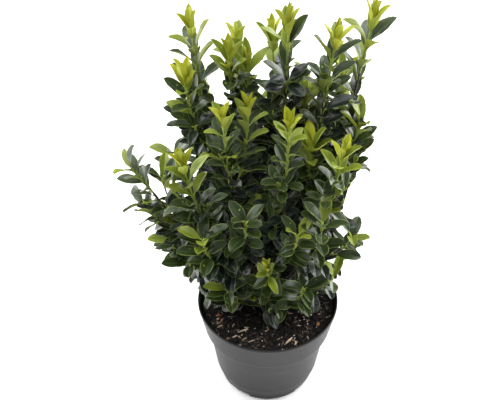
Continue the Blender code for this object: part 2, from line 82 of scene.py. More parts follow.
camera_data = bpy.data.cameras.new("camera")
camera_data.lens = 65
camera_data.sensor_width = 36
camera_data.clip_start = 0.05
camera = add_object("camera", camera_data)
camera.location = CAMERA_PLACE
camera.rotation_euler = (math.pi / 2 - CAMERA_DOWN, 0, 0)
bpy.context.scene.camera = camera
bpy.context.scene.view_settings.view_transform = "Standard"

# %% [markdown]
# ## Studio
# The plant stands on a plain white floor in soft white light. A very large lamp overhead lights the upper
# leaves and lets the inner and lower ones fall into shade. One lamp on each side, a little behind the plant,
# brightens the flanks of the pot and leaves its front dark. An even, weaker world fills the shadows.

# %% Studio light
WORLD_STRENGTH = 0.27
world = bpy.data.worlds.new("light_tent")
world.use_nodes = True
background = world.node_tree.nodes["Background"]
background.inputs["Color"].default_value = (1, 1, 1, 1)
background.inputs["Strength"].default_value = WORLD_STRENGTH
bpy.context.scene.world = world


def area_lamp(name, place, target, side, watts):
    """A square lamp that faces the target point. The watts spread over its whole area."""
    lamp = bpy.data.lights.new(name, "AREA")
    lamp.size = side
    lamp.energy = watts
    made = add_object(name, lamp)
    made.location = place
    x, y, z = np.array(place, float) - np.array(target, float)
    made.rotation_euler = (math.atan2(math.hypot(x, y), z), 0, math.atan2(x, -y))


area_lamp("top_lamp", (-0.3, -0.15, 2.3), (0, 0.1, 0), 2.6, 74)
area_lamp("left_lamp", (-1.5, 0.7, 0.75), (0, 0, 0.1), 1.8, 46)
area_lamp("right_lamp", (1.5, 0.7, 0.75), (0, 0, 0.1), 1.8, 78)

# %% [markdown]
# ## Making meshes from whole arrays
# Almost everything here is a tube: a row of rings, each with the same number of points. A stem is a tube,
# and so are a leaf, whose rings are flat lenses, and the pot, whose rings run up its outer wall and down
# its inner one. One function joins any number of tubes into one mesh, with no loop over their points.

# %% Tubes into one mesh
def tube_faces(count, rings, sides):
    """Corners of the side faces and end caps of `count` tubes that follow each other in a list of points.

    Point i of ring k has the number k * sides + i. A side face joins points i and i + 1 of two rings, and
    the last point of a ring joins the first. Rings that turn anticlockwise about the way the tube runs
    give faces that point outwards.
    """
    i = np.arange(sides)
    j = (i + 1) % sides
    ring = np.arange(rings - 1)[:, None] * sides
    walls = np.stack([ring + i, ring + j, ring + sides + j, ring + sides + i], -1).reshape(-1, 4)
    caps = np.stack([i[::-1], (rings - 1) * sides + i])
    start = np.arange(count)[:, None, None] * rings * sides
    return (start + walls).reshape(-1, 4), (start + caps).reshape(-1, sides)


def set_values(items, name, values):
    items.foreach_set(name, np.ascontiguousarray(values).ravel())


def tube_mesh(name, tubes, materials, slots=None, uv=None, age=None, sharp_columns=()):
    """One object from a list of arrays of tubes, each shaped (tubes, rings, sides, 3).

    slots gives a material number for each column of side faces. uv and age are lists like tubes, with two
    numbers and one number for each point. Lengthways edges in the sharp columns stay sharp.
    """
    points, walls, caps, wall_slots, cap_slots, sharp = [], [], [], [], [], []
    at = 0
    for array in tubes:
        count, rings, sides, _ = array.shape
        wall, cap = tube_faces(count, rings, sides)
        points.append(array.reshape(-1, 3))
        walls.append(wall + at)
        caps.append(cap + at)
        columns = np.zeros(sides, int) if slots is None else np.array(slots)
        wall_slots.append(np.tile(columns, count * (rings - 1)))
        cap_slots.append(np.zeros(len(cap), int))
        sharp.append(np.isin(np.tile(np.arange(sides), count * rings), sharp_columns))
        at += len(points[-1])
    faces = walls + caps
    corners = np.concatenate([f.ravel() for f in faces])
    lengths = np.concatenate([np.full(len(f), f.shape[1]) for f in faces])
    mesh = bpy.data.meshes.new(name)
    mesh.vertices.add(at)
    set_values(mesh.vertices, "co", np.concatenate(points))
    mesh.loops.add(len(corners))
    set_values(mesh.loops, "vertex_index", corners)
    mesh.polygons.add(len(lengths))
    set_values(mesh.polygons, "loop_start", np.concatenate([[0], np.cumsum(lengths)[:-1]]))
    set_values(mesh.polygons, "material_index", np.concatenate(wall_slots + cap_slots))
    set_values(mesh.polygons, "use_smooth", lengths == 4)
    for material in materials:
        mesh.materials.append(material)
    mesh.update(calc_edges=True)
    if uv is not None:
        by_point = np.concatenate([u.reshape(-1, 2) for u in uv])
        set_values(mesh.uv_layers.new(name="surface").data, "uv", by_point[corners])
    if age is not None:
        layer = mesh.attributes.new("age", "FLOAT", "POINT")
        set_values(layer.data, "value", np.concatenate([a.ravel() for a in age]))
    if sharp_columns:
        ends = np.zeros(len(mesh.edges) * 2, int)
        mesh.edges.foreach_get("vertices", ends)
        ends = ends.reshape(-1, 2)
        marked = np.concatenate(sharp)
        same_column = np.abs(ends[:, 0] - ends[:, 1]) == tubes[0].shape[2]
        layer = mesh.attributes.new("sharp_edge", "BOOLEAN", "EDGE")
        set_values(layer.data, "value", marked[ends[:, 0]] & marked[ends[:, 1]] & same_column)
    print(f"{name}: {int((lengths - 2).sum())} triangles")
    return add_object(name, mesh)


# %% Directions and rings
def unit(vector):
    return vector / np.linalg.norm(vector, axis=-1, keepdims=True)


def square_part(vector, along):
    """The vector less its part along a direction, brought to length 1."""
    return unit(vector - along * (vector * along).sum(-1, keepdims=True))


def cross_directions(along):
    """u is the part of X square to each line, or of Y where it runs nearly along X, and v is along x u."""
    u = square_part(np.where(np.abs(along[:, :1]) < 0.93, [[1.0, 0, 0]], [[0, 1.0, 0]]), along)
    return u, np.cross(along, u)


def ring_angles(sides, shift=0):
    return (np.arange(sides) + shift) * 2 * math.pi / sides


def circles(u, v, angle):
    """The directions u cos(angle) + v sin(angle), for every angle at every place."""
    return u[..., None, :] * np.cos(angle)[:, None] + v[..., None, :] * np.sin(angle)[:, None]


def turned(radius, angle, height):
    """Rings about the upright axis, as one tube: radius cos(angle), radius sin(angle) and the height."""
    return np.stack([radius * np.cos(angle), radius * np.sin(angle), height], -1)[None]


def sweep(points, along, radii, sides, relief=1):
    """Rings about a line, as one tube: circles square to the line, with their radii times the relief."""
    reach = np.broadcast_to(radii[:, None] * relief, (len(points), sides))
    rings = circles(*cross_directions(along), ring_angles(sides, 0.5))
    return (points[:, None] + rings * reach[..., None])[None]


# %% [markdown]
# ## Seeded chance
# A plant is never quite regular, but this one must come out the same each time. So chance is a formula: the
# digits far behind the point of a sine look random, and the same whole numbers always give the same digits.

# %% Chance from whole numbers
def chance(*keys):
    """A number from 0 to 1 for these whole numbers: the fraction of 43758.5453 sin(sum of (k + 1) w)."""
    mixed = np.sin(sum((k + 1) * w for k, w in zip(keys, (12.9898, 78.233, 37.719, 94.673)))) * 43758.5453
    return mixed - np.floor(mixed)


def spread(low, high, *keys):
    return low + (high - low) * chance(*keys)


def either_way(amount, *keys):
    return spread(-amount, amount, *keys)


def patchy(x, y, seed):
    """Value noise from 0 to 1: chances at whole places, blended between them by 3t^2 - 2t^3."""
    ix, iy = np.floor(x), np.floor(y)
    fx, fy = x - ix, y - iy
    fx, fy = fx * fx * (3 - 2 * fx), fy * fy * (3 - 2 * fy)
    low = chance(ix, iy, seed) * (1 - fx) + chance(ix + 1, iy, seed) * fx
    high = chance(ix, iy + 1, seed) * (1 - fx) + chance(ix + 1, iy + 1, seed) * fx
    return low * (1 - fy) + high * fy


# %% [markdown]
# ## Shared effects
# Two effects come back in many materials. Mottling is the uneven tone that every grown or moulded surface
# has, at a broad and a fine scale. Veins are the rib and side veins of a leaf, read from the leaf's own UV
# map. Each is a node group that gives only masks, so each material still chooses its own colours.

# %% Node groups
def add_node(tree, kind, inputs=None, **properties):
    """A node: its properties are set by name, its inputs by name or number, to a value or from a socket."""
    made = tree.nodes.new(kind)
    for name, value in properties.items():
        setattr(made, name, value)
    for key, value in (inputs or {}).items():
        if isinstance(value, bpy.types.NodeSocket):
            tree.links.new(value, made.inputs[key])
        else:
            made.inputs[key].default_value = value
    return made


def calculate(tree, operation, *terms):
    """The result of a Math node. Each term is a number or a socket."""
    return add_node(tree, "ShaderNodeMath", dict(enumerate(terms)), operation=operation).outputs[0]


def new_group(name, inputs, outputs):
    group = bpy.data.node_groups.new(name, "ShaderNodeTree")
    for socket, value in inputs.items():
        made = group.interface.new_socket(socket, in_out="INPUT", socket_type="NodeSocketFloat")
        made.default_value = value
    for socket in outputs:
        group.interface.new_socket(socket, in_out="OUTPUT", socket_type="NodeSocketFloat")
    return group, group.nodes.new("NodeGroupInput")


def make_mottle():
    """Broad and Fine: two noises of the object's own coordinates, the fine one eleven times as small."""
    group, given = new_group("mottle", {"Scale": 60.0}, ("Broad", "Fine"))
    place = add_node(group, "ShaderNodeTexCoord").outputs["Object"]
    broad = given.outputs["Scale"]
    fine = calculate(group, "MULTIPLY", broad, 11.0)
    masks = {}
    for name, scale, detail in (("Broad", broad, 3.0), ("Fine", fine, 2.0)):
        noise = {"Vector": place, "Scale": scale, "Detail": detail}
        masks[name] = add_node(group, "ShaderNodeTexNoise", noise).outputs["Fac"]
    add_node(group, "NodeGroupOutput", masks)
    return group


def make_veins():
    """Rib: 1 on the midrib, fading to 0. Relief: a wave along slanting side veins.

    With u across the blade and v along it, both 0 to 1, the midrib is where |u - 0.5| is small. The side
    veins are the crests of sin(60 v - 34 |u - 0.5|).
    """
    group, _ = new_group("leaf_veins", {}, ("Rib", "Relief"))
    uv = add_node(group, "ShaderNodeUVMap", uv_map="surface").outputs[0]
    u, v, _ = add_node(group, "ShaderNodeSeparateXYZ", {0: uv}).outputs
    off = calculate(group, "ABSOLUTE", calculate(group, "SUBTRACT", u, 0.5))
    fade = {"Value": off, "From Min": 0.015, "From Max": 0.055, "To Min": 1, "To Max": 0}
    rib = add_node(group, "ShaderNodeMapRange", fade, interpolation_type="SMOOTHSTEP").outputs[0]
    wave = calculate(group, "MULTIPLY_ADD", v, 60.0, calculate(group, "MULTIPLY", off, -34.0))
    add_node(group, "NodeGroupOutput", {"Rib": rib, "Relief": calculate(group, "SINE", wave)})
    return group


MOTTLE = make_mottle()
VEINS = make_veins()

# %% [markdown]
# Every material below starts in the same way: a Principled shader whose colour is mixed from two or three
# tones by a mask, with a rough and a fine unevenness. These helpers keep that short.

# %% Helpers for materials
class Finish:
    """A material that is built up step by step: colours, then roughness, then relief."""

    def __init__(self, name, **fixed):
        self.material = bpy.data.materials.new(name)
        self.material.use_nodes = True
        self.tree = self.material.node_tree
        self.shader = self.tree.nodes["Principled BSDF"]
        for socket, value in fixed.items():
            self.shader.inputs[socket.replace("_", " ")].default_value = value

    def masks(self, group, **values):
        """The two masks of a shared effect, placed here with its own values."""
        return list(add_node(self.tree, "ShaderNodeGroup", values, node_tree=group).outputs)

    def ramp(self, mask, *stops):
        """A colour for each value of the mask, blended between the stops (value, colour)."""
        made = add_node(self.tree, "ShaderNodeValToRGB", {0: mask})
        while len(made.color_ramp.elements) < len(stops):
            made.color_ramp.elements.new(0.5)
        for element, (value, colour) in zip(made.color_ramp.elements, stops):
            element.position = value
            element.color = (*colour, 1)
        return made.outputs[0]

    def mix(self, mask, under, over):
        """The under colour where the mask is 0 and the over colour where it is 1. Either may be a socket."""
        under, over = ((*tone, 1) if isinstance(tone, tuple) else tone for tone in (under, over))
        inputs = {"Factor": mask, 6: under, 7: over}
        return add_node(self.tree, "ShaderNodeMix", inputs, data_type="RGBA").outputs[2]

    def between(self, mask, low, high, first=0.0, last=1.0):
        """The mask's range first to last stretched to low to high."""
        limits = {"Value": mask, "From Min": first, "From Max": last, "To Min": low, "To Max": high}
        return add_node(self.tree, "ShaderNodeMapRange", limits).outputs[0]

    def sum_of(self, *weighted):
        """Each mask times its weight, added up."""
        total = 0.0
        for mask, weight in weighted:
            total = calculate(self.tree, "MULTIPLY_ADD", mask, weight, total)
        return total

    def wear(self, colour, roughness=None, height=None, depth=0.0, strength=0.0):
        """The material, with the colour, the roughness and a relief of the given depth in metres linked."""
        worn = {"Base Color": colour, "Roughness": roughness}
        if height is not None:
            relief = {"Strength": strength, "Distance": depth, "Height": height}
            worn["Normal"] = add_node(self.tree, "ShaderNodeBump", relief).outputs[0]
        for name, socket in worn.items():
            if socket is not None:
                self.tree.links.new(socket, self.shader.inputs[name])
        return self.material


def mottled(name, specular, scale, stops, rough, relief, spots=None):
    """A finish whose tone, roughness and relief all follow one mottling.

    The broad mask gives the tone by the stops. The fine mask gives the roughness between two values and the
    relief by depth and strength. Spots are a colour and the range in which the fine mask brings it in.
    """
    finish = Finish(name, Specular_IOR_Level=specular)
    broad, fine = finish.masks(MOTTLE, Scale=scale)
    tone = finish.ramp(broad, *stops)
    if spots is not None:
        tone = finish.mix(finish.between(fine, *spots[1:]), tone, spots[0])
    return finish.wear(tone, finish.between(fine, *rough), fine, *relief)


# %% [markdown]
# ## Floor
# The floor is a flat sheet, much larger than the view, in a pale matte tone that the light turns white.

# %% Floor
def make_floor(reach=5):
    mesh = bpy.data.meshes.new("floor")
    mesh.from_pydata([(-reach, -reach, 0), (reach, -reach, 0), (reach, reach, 0), (-reach, reach, 0)], [],
                     [(0, 1, 2, 3)])
    paper = Finish("white_paper", Roughness=0.9)
    broad, _ = paper.masks(MOTTLE, Scale=3.0)
    mesh.materials.append(paper.wear(paper.mix(broad, (0.93, 0.93, 0.93), (0.96, 0.96, 0.96))))
    floor = add_object("floor", mesh)
    floor.location = (0, 0, -0.5 * MM)


make_floor()

# %% [markdown]
# ## Pot
# A nursery pot is one thin moulded wall, turned about its axis: a wide collar with a small step under it,
# a plain body, and a foot that draws in. A profile carried round a circle gives all of that. The four
# drainage notches are the only places where it isn't round. They are made in the same function, by holding
# the lowest rings back to a flat plane, so no cutting is needed and the mesh stays clean.

# %% Sizes of the pot, as in the CAD model
POT_HEIGHT = 140 * MM
RIM_RADIUS = 95 * MM
COLLAR_FOOT = 97 * MM
COLLAR_FOOT_RADIUS = 87 * MM
BODY_TOP_RADIUS = 82 * MM
FOOT_BEND_HEIGHT = 24 * MM
FOOT_BEND_RADIUS = 71.5 * MM
UNDERSIDE_RADIUS = 64.5 * MM
POT_WALL = 2.0 * MM
NOTCH_COUNT = 4
FIRST_NOTCH_AZIMUTH = math.radians(-128)
NOTCH_HALF_WIDTH = 15 * MM
NOTCH_HEIGHT = 6 * MM
NOTCH_PLANE = UNDERSIDE_RADIUS - 7 * MM


def pot_inner_radius(height):
    """Radius of the inner wall at a height, straight between the bends of the wall."""
    heights = (0, FOOT_BEND_HEIGHT, COLLAR_FOOT, COLLAR_FOOT + POT_WALL, POT_HEIGHT)
    radii = np.array((UNDERSIDE_RADIUS, FOOT_BEND_RADIUS, BODY_TOP_RADIUS, COLLAR_FOOT_RADIUS, RIM_RADIUS))
    return np.interp(height, heights, radii - POT_WALL)


# %% Pot surface
def rounded(profile, radius, steps=4):
    """The profile with each corner replaced by a short arc: a curve that leaves one side and joins the next.

    The arc is a quadratic curve whose middle control point is the corner itself:
    start (1 - t)^2 + corner 2 t (1 - t) + end t^2.
    """
    made = [profile[0]]
    for before, corner, after in zip(profile, profile[1:], profile[2:]):
        back, on = before - corner, after - corner
        cut = min(radius, 0.45 * np.linalg.norm(back), 0.45 * np.linalg.norm(on))
        start = corner + back / np.linalg.norm(back) * cut
        end = corner + on / np.linalg.norm(on) * cut
        t = np.linspace(0, 1, steps)[:, None]
        made.extend(start * (1 - t) ** 2 + corner * 2 * t * (1 - t) + end * t * t)
    return np.array([*made, profile[-1]])


def pot_surface(sides=192):
    """The pot's rings, from its underside up the outer wall, over the rim and down the inner wall.

    A ring is radius * (cos, sin) of the angle. Inside a notch, where the ring is lower than the notch is
    high, the radius is held to the notch's plane: plane / cos(angle from the notch's middle).
    """
    wall = np.array([
        (UNDERSIDE_RADIUS - 3 * MM, 0), (UNDERSIDE_RADIUS, 0), (FOOT_BEND_RADIUS, FOOT_BEND_HEIGHT),
        (BODY_TOP_RADIUS, COLLAR_FOOT), (COLLAR_FOOT_RADIUS, COLLAR_FOOT),
        (COLLAR_FOOT_RADIUS + 0.7 * MM, COLLAR_FOOT + 4 * MM), (RIM_RADIUS - 0.5 * MM, POT_HEIGHT - 5 * MM),
        (RIM_RADIUS, POT_HEIGHT - 3.6 * MM), (RIM_RADIUS, POT_HEIGHT), (RIM_RADIUS - POT_WALL, POT_HEIGHT),
        (RIM_RADIUS - POT_WALL - 0.5 * MM, POT_HEIGHT - 6 * MM),
        (COLLAR_FOOT_RADIUS - POT_WALL, COLLAR_FOOT + POT_WALL), (BODY_TOP_RADIUS - POT_WALL, COLLAR_FOOT),
        (FOOT_BEND_RADIUS - POT_WALL, FOOT_BEND_HEIGHT), (pot_inner_radius(8 * MM), 8 * MM)])
    profile = rounded(wall, 0.9 * MM)
    # The first 14 points, the wall up to the collar, never fall, so the radius can be read from the height
    lower = profile[:14]
    edge = np.array([(float(np.interp(NOTCH_HEIGHT, lower[:, 1], lower[:, 0])), NOTCH_HEIGHT)])
    above = int(np.argmax(profile[:, 1] > NOTCH_HEIGHT))
    profile = np.concatenate([profile[:above], edge, edge + [[0, 0.02 * MM]], profile[above:]])
    angle = ring_angles(sides)
    radius, height = np.broadcast_arrays(profile[:, :1], profile[:, 1:], np.zeros((1, sides)))[:2]
    outer = np.arange(len(profile))[:, None] < above + 1
    for index in range(NOTCH_COUNT):
        off = angle - FIRST_NOTCH_AZIMUTH - index * 2 * math.pi / NOTCH_COUNT
        off = (off + math.pi) % (2 * math.pi) - math.pi
        inside = (np.abs(np.sin(off)) * wall[0, 0] < NOTCH_HALF_WIDTH) & (np.abs(off) < 1)
        held = np.minimum(radius, NOTCH_PLANE / np.cos(np.where(inside, off, 0)))
        radius = np.where(inside & outer, held, radius)
    print(f"pot: {len(profile)} rings of {sides} points, {radius.max() / MM:.1f} mm to the rim")
    return turned(radius, angle, height)


# %% [markdown]
# The plastic is dark grey and matte, with the faint cloudiness of recycled plastic, fine grain from the
# mould, a few rubbed streaks that run round it, and pale dust that has settled low on the wall.

# %% Pot plastic
def make_pot_plastic():
    """Two dark tones in clouds, paler rubbed streaks round the wall, and dust, thickest below 60 mm."""
    plastic = Finish("pot_plastic", Specular_IOR_Level=0.26)
    cloud, cloud_fine = plastic.masks(MOTTLE, Scale=14.0)
    grain, grain_fine = plastic.masks(MOTTLE, Scale=130.0)
    place = add_node(plastic.tree, "ShaderNodeTexCoord").outputs["Object"]
    flat = add_node(plastic.tree, "ShaderNodeMapping", {0: place, "Scale": (9.0, 9.0, 70.0)}).outputs[0]
    streak = add_node(plastic.tree, "ShaderNodeTexNoise", {"Vector": flat, "Scale": 1.0, "Detail": 4.0})
    rubbed = plastic.between(streak.outputs["Fac"], 0.0, 0.55, 0.56, 0.74)
    height = add_node(plastic.tree, "ShaderNodeSeparateXYZ", {0: place}).outputs[2]
    low = plastic.between(height, 1.0, 0.0, 0.0, 60 * MM)
    dust = plastic.sum_of((low, 0.35), (cloud, 0.5), (grain_fine, 0.2))
    dusty = plastic.between(dust, 0.0, 0.35, 0.42, 0.85)
    tone = plastic.mix(cloud, (0.009, 0.0086, 0.0090), (0.013, 0.0125, 0.0130))
    tone = plastic.mix(rubbed, tone, (0.026, 0.025, 0.026))
    tone = plastic.mix(dusty, tone, (0.042, 0.041, 0.036))
    rough = plastic.sum_of((cloud_fine, 0.12), (dusty, 0.3), (rubbed, -0.10))
    relief = plastic.sum_of((grain_fine, 1.0), (grain, 0.8), (rubbed, -0.6))
    return plastic.wear(tone, plastic.between(rough, 0.38, 0.60, 0.0, 0.3), relief, 0.12 * MM, 0.35)


pot = tube_mesh("pot_wall", [pot_surface()], [make_pot_plastic()])
pot.data.set_sharp_from_angle(angle=math.radians(50))
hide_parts("pot")
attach(pot, "root")

# %% [markdown]
# ## Potting soil
# The soil is damp peat: nearly black, lumpy and full of small hollows. Its surface is a disc of rings whose
# height is the CAD model's gentle swell plus lumps from value noise at three sizes. Below the surface it is
# a plain plug that follows the pot's wall.

# %% Soil surface
SOIL_TOP = 129 * MM
SOIL_SWELL = 2.5 * MM
SOIL_SEAT_RADIUS = 21 * MM
WALL_CLEARANCE = 0.6 * MM
SOIL_EDGE = float(pot_inner_radius(SOIL_TOP - SOIL_SWELL * 1.2)) - WALL_CLEARANCE


def soil_swell(radius, angle):
    """Height of the CAD model's soil: level in the middle, then gently uneven, and lower at the wall."""
    beyond = np.maximum(0, (radius - SOIL_SEAT_RADIUS) / (SOIL_EDGE - SOIL_SEAT_RADIUS))
    waves = 0.6 * np.sin(3 * angle + 0.7) + 0.4 * np.sin(5 * angle + 2.1 + 3 * beyond)
    return SOIL_TOP + SOIL_SWELL * beyond * (0.5 * waves - 0.6 * beyond)


def soil_height(radius, angle):
    """The swell, plus lumps: large soft ones, and ridged small ones where |2 noise - 1| folds."""
    x, y = radius * np.cos(angle) / MM, radius * np.sin(angle) / MM
    large = patchy(x / 9 + 40, y / 9 + 40, 3) - 0.5
    medium = 0.5 - np.abs(2 * patchy(x / 4.2 + 80, y / 4.2 + 80, 5) - 1)
    small = 0.5 - np.abs(2 * patchy(x / 1.7 + 160, y / 1.7 + 160, 7) - 1)
    fade = np.clip((SOIL_EDGE - radius) / (3 * MM), 0.25, 1)
    return soil_swell(radius, angle) + fade * (2.2 * large + 1.5 * medium + 0.7 * small) * MM


def soil_surface(rings=96, sides=300):
    """Rings from the plug's foot up the pot's wall, then inwards over the surface to its middle."""
    angle = ring_angles(sides)
    plug = [(float(pot_inner_radius(z)) - WALL_CLEARANCE, z) for z in (9 * MM, FOOT_BEND_HEIGHT, COLLAR_FOOT)]
    plug.append((COLLAR_FOOT_RADIUS - POT_WALL - WALL_CLEARANCE, COLLAR_FOOT + POT_WALL))
    low_radius, low_height = np.array(plug).T[..., None] + np.zeros(sides)
    top_radius = np.linspace(SOIL_EDGE, 0.8 * MM, rings)[:, None] + np.zeros(sides)
    height = np.concatenate([low_height, soil_height(top_radius, angle)])
    return turned(np.concatenate([low_radius, top_radius]), angle, height)


# %% Peat
PEAT = mottled("peat", 0.14, 190.0, ((0.30, (0.004, 0.004, 0.004)), (0.52, (0.010, 0.009, 0.009)),
                                     (0.68, (0.024, 0.018, 0.015))),
               (0.55, 1.0), (0.6 * MM, 0.8), ((0.045, 0.034, 0.027), 0, 0.8, 0.58, 0.8))
soil = tube_mesh("potting_soil_surface", [soil_surface()], [PEAT])
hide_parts("potting_soil")
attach(soil, "root")

# %% [markdown]
# On the peat lie crumbs of it, fibres and chips of wood, and white grains of perlite. Each is a short tube
# of four uneven rings. A few chips that show clearly in the photograph are placed one by one, and the others
# are dealt out by chance. Crumbs are sunk a little into the surface, and chips rest on its lumps.

# %% Things that lie on the soil
FREE_MIDDLE = 17 * MM
PLACED_LIFT = 0.85


def scattered(count, seed):
    """Places spread evenly over the soil: the radius is the root of a chance, so that no ring is fuller."""
    i = np.arange(count)
    reach = SOIL_EDGE - 2.5 * MM
    return np.sqrt(spread(FREE_MIDDLE**2, reach**2, i, seed)), spread(0, 2 * math.pi, i, seed + 1)


def grains(radius, angle, length, width, thickness, heading, seed, lift, sides=6):
    """Small uneven lumps or chips on the soil, as tubes along their heading.

    Each ring's size is a share of the full width: small at the ends and full between, times a chance for
    every point, so that no two are alike. The lump's centre is above the soil by lift times its thickness.
    """
    shares = np.array([0.35, 0.95, 1.0, 0.45])
    numbers = np.arange(len(radius))
    i, k, j = np.meshgrid(numbers, np.arange(len(shares)), np.arange(sides), indexing="ij")
    size = shares[None, :, None] * spread(0.72, 1.15, i * 31 + k * 7, j, seed)
    tilt = either_way(0.35, numbers, seed, 4)
    height = soil_height(radius, angle) + lift * thickness
    x, y = radius * np.cos(angle), radius * np.sin(angle)
    x, y, height, length, width, thickness, heading, tilt = (
        value[:, None, None] for value in (x, y, height, length, width, thickness, heading, tilt))
    across = size * np.cos(ring_angles(sides)) * width / 2
    up = size * np.sin(ring_angles(sides)) * thickness / 2
    run = np.linspace(-0.5, 0.5, len(shares))[None, :, None] * length + np.zeros_like(across)
    run, up = run * np.cos(tilt) - up * np.sin(tilt), run * np.sin(tilt) * 0.5 + up * np.cos(tilt)
    return np.stack([run * np.cos(heading) + across * np.sin(heading) + x,
                     run * np.sin(heading) - across * np.cos(heading) + y, up + height], -1)


def dealt(count, seed, length, width, thickness, lift):
    """Grains of chance size and heading. Each of the three sizes is a range in mm, least and most."""
    i = np.arange(count)
    ranges = enumerate((length, width, thickness), seed + 2)
    sizes = [spread(low * MM, high * MM, i, key) for key, (low, high) in ranges]
    return grains(*scattered(count, seed), *sizes, spread(0, math.pi, i, seed + 6), seed, lift)


def placed(marks, seed):
    """Chips at given places: x, y, length and width in mm, and heading in degrees."""
    x, y, length, width, heading = np.array(marks, float).T
    return grains(np.hypot(x, y) * MM, np.arctan2(y, x), length * MM, width * MM, width * MM * 0.45,
                  np.radians(heading), seed, PLACED_LIFT)


def lay_grains(name, material, arrays):
    made = tube_mesh(name, arrays, [material])
    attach(made, "root")


# %% Crumbs, chips and perlite
lay_grains("peat_crumbs", PEAT, [dealt(1500, 11, (2.2, 8.0), (1.4, 3.4), (1.2, 2.8), 0.20)])

# Piece, its wood, dark and light tone, the placed chips and their seed, and what dealt() asks for
WOODS = (
    ("tan_chips", "tan_wood", (0.30, 0.21, 0.145), (0.74, 0.60, 0.46),
     ((-31, -50, 23, 3.4, 32), (-44, -61, 7, 3.2, 29), (26, -69, 16, 2.8, 47), (36, -71, 8, 2.8, 62),
      (-35, -58, 5, 2.4, 66), (82, -25, 11, 1.8, 36), (14, -74, 6, 1.6, 80)), 61,
     (70, 31, (2.5, 12), (0.8, 2.2), (0.5, 1.0), 0.8)),
    ("bark_chips", "bark_chip", (0.075, 0.028, 0.014), (0.40, 0.17, 0.075),
     ((24, -18, 9, 4.6, 38), (-62, -33, 9, 4.2, 54), (-66, -24, 8, 4.5, 10), (66, -40, 8, 5.0, 70)), 62,
     (16, 41, (3, 7), (2, 4), (0.8, 1.5), 0.5)),
    ("brown_fibres", "brown_fibre", (0.030, 0.022, 0.017), (0.21, 0.155, 0.115),
     ((-23, -72, 14, 1.7, -30), (40, -58, 13, 2.2, -29), (62, -5, 16, 2.2, -59), (-78, -22, 11, 1.9, -41),
      (-14, -66, 7, 3.4, 20), (50, -52, 8, 2.4, 12)), 63,
     (190, 51, (4, 14), (0.7, 2.0), (0.5, 1.1), 0.6)),
)
for piece, wood, dark, light, marks, seed, rest in WOODS:
    stops = ((0.35, dark), (0.62, light))
    streaked = mottled(wood, 0.3, 260.0, stops, (0.6, 0.95), (0.2 * MM, 0.6), (dark, 0, 0.5))
    lay_grains(piece, streaked, [placed(marks, seed), dealt(*rest)])

# Perlite is white glassy foam, slightly stained by the peat in its pits
PERLITE = mottled("perlite", 0.4, 500.0, ((0.3, (0.30, 0.27, 0.22)), (0.55, (0.72, 0.70, 0.66))),
                  (0.5, 0.9), (0.3 * MM, 0.7))
lay_grains("perlite", PERLITE, [dealt(85, 71, (1.2, 2.7), (1.1, 2.2), (0.9, 1.6), 0.6)])

# %% [markdown]
# ## How the plant grows
# All the shoots rise from one short crown stem in the middle of the soil. The table gives each mass of
# foliage by the tip of its main shoot, that tip's outward lean, and the tips of the shoots that fork from
# it. The same rule as in the CAD model turns it into smooth lines: out from the crown stem, then upright.

# %% The masses, as in the CAD model
Mass = namedtuple("Mass", "name tip lean forks")
BOUGH_MASSES = (
    Mass("left_tall", (-0.089, 0.030, 0.540), 6, ((-0.095, -0.010, 0.494), (-0.086, 0.040, 0.440))),
    Mass("left_arm", (-0.163, -0.020, 0.380), 34, ((-0.132, 0.018, 0.336), (-0.112, -0.020, 0.290))),
    Mass("centre_left", (-0.040, 0.062, 0.502), 4, ((-0.048, 0.024, 0.506), (-0.026, 0.036, 0.484))),
    Mass("mid_left", (-0.054, -0.045, 0.472), 4, ((-0.026, -0.012, 0.454), (-0.029, -0.085, 0.352))),
    Mass("front_left", (-0.098, -0.070, 0.426), 10, ((-0.078, -0.088, 0.330),)),
    Mass("centre_tall", (0.018, 0.020, 0.549), 1, ((0.002, 0.055, 0.508), (0.040, 0.030, 0.445))),
    Mass("front_centre", (0.018, -0.060, 0.466), 2, ((0.030, -0.092, 0.340), (-0.004, -0.094, 0.285))),
    Mass("right_mid", (0.068, 0.000, 0.542), 6, ((0.046, -0.024, 0.410),)),
    Mass("right_tall", (0.111, 0.035, 0.545), 9, ((0.084, 0.052, 0.460),)),
    Mass("front_right", (0.078, -0.060, 0.430), 8, ((0.058, -0.088, 0.356), (0.094, -0.070, 0.322))),
    Mass("right_side", (0.102, -0.002, 0.432), 9, ((0.100, -0.030, 0.350),)),
    Mass("back_mid", (0.048, 0.092, 0.437), 4, ((0.092, 0.092, 0.405), (0.066, 0.122, 0.330))),
    Mass("back_left", (-0.080, 0.092, 0.388), 8, ((-0.118, 0.056, 0.345), (-0.088, 0.112, 0.310))),
    Mass("back_centre", (-0.012, 0.112, 0.388), 6, ((-0.036, 0.128, 0.320), (0.018, 0.132, 0.330))),
    Mass("back_right", (0.094, 0.062, 0.345), 9, ((0.096, 0.030, 0.290),)),
)
LOW_MASSES = (
    Mass("low_front", (-0.004, -0.070, 0.240), 20, ()),
    Mass("low_right", (0.080, -0.054, 0.232), 26, ()),
    Mass("low_far_left", (-0.100, -0.040, 0.245), 26, ()),
    Mass("low_inner_left", (-0.052, -0.070, 0.228), 24, ()),
    Mass("low_inner_right", (0.042, -0.076, 0.236), 22, ()),
    Mass("low_side_right", (0.104, 0.002, 0.250), 26, ()),
    Mass("low_back", (0.014, 0.100, 0.250), 24, ()),
    Mass("low_back_left", (-0.070, 0.080, 0.240), 26, ()),
    Mass("low_back_right", (0.078, 0.078, 0.240), 26, ()),
    Mass("low_side_left", (-0.122, 0.004, 0.240), 30, ()),
)
MASSES = [(mass, False) for mass in BOUGH_MASSES] + [(mass, True) for mass in LOW_MASSES]
CROWN_HEIGHT = 42 * MM
CROWN_TOP_RADIUS = 12 * MM
BOUGH_LENGTH = 72 * MM
BOUGH_FOOT_RADIUS = 2.7 * MM
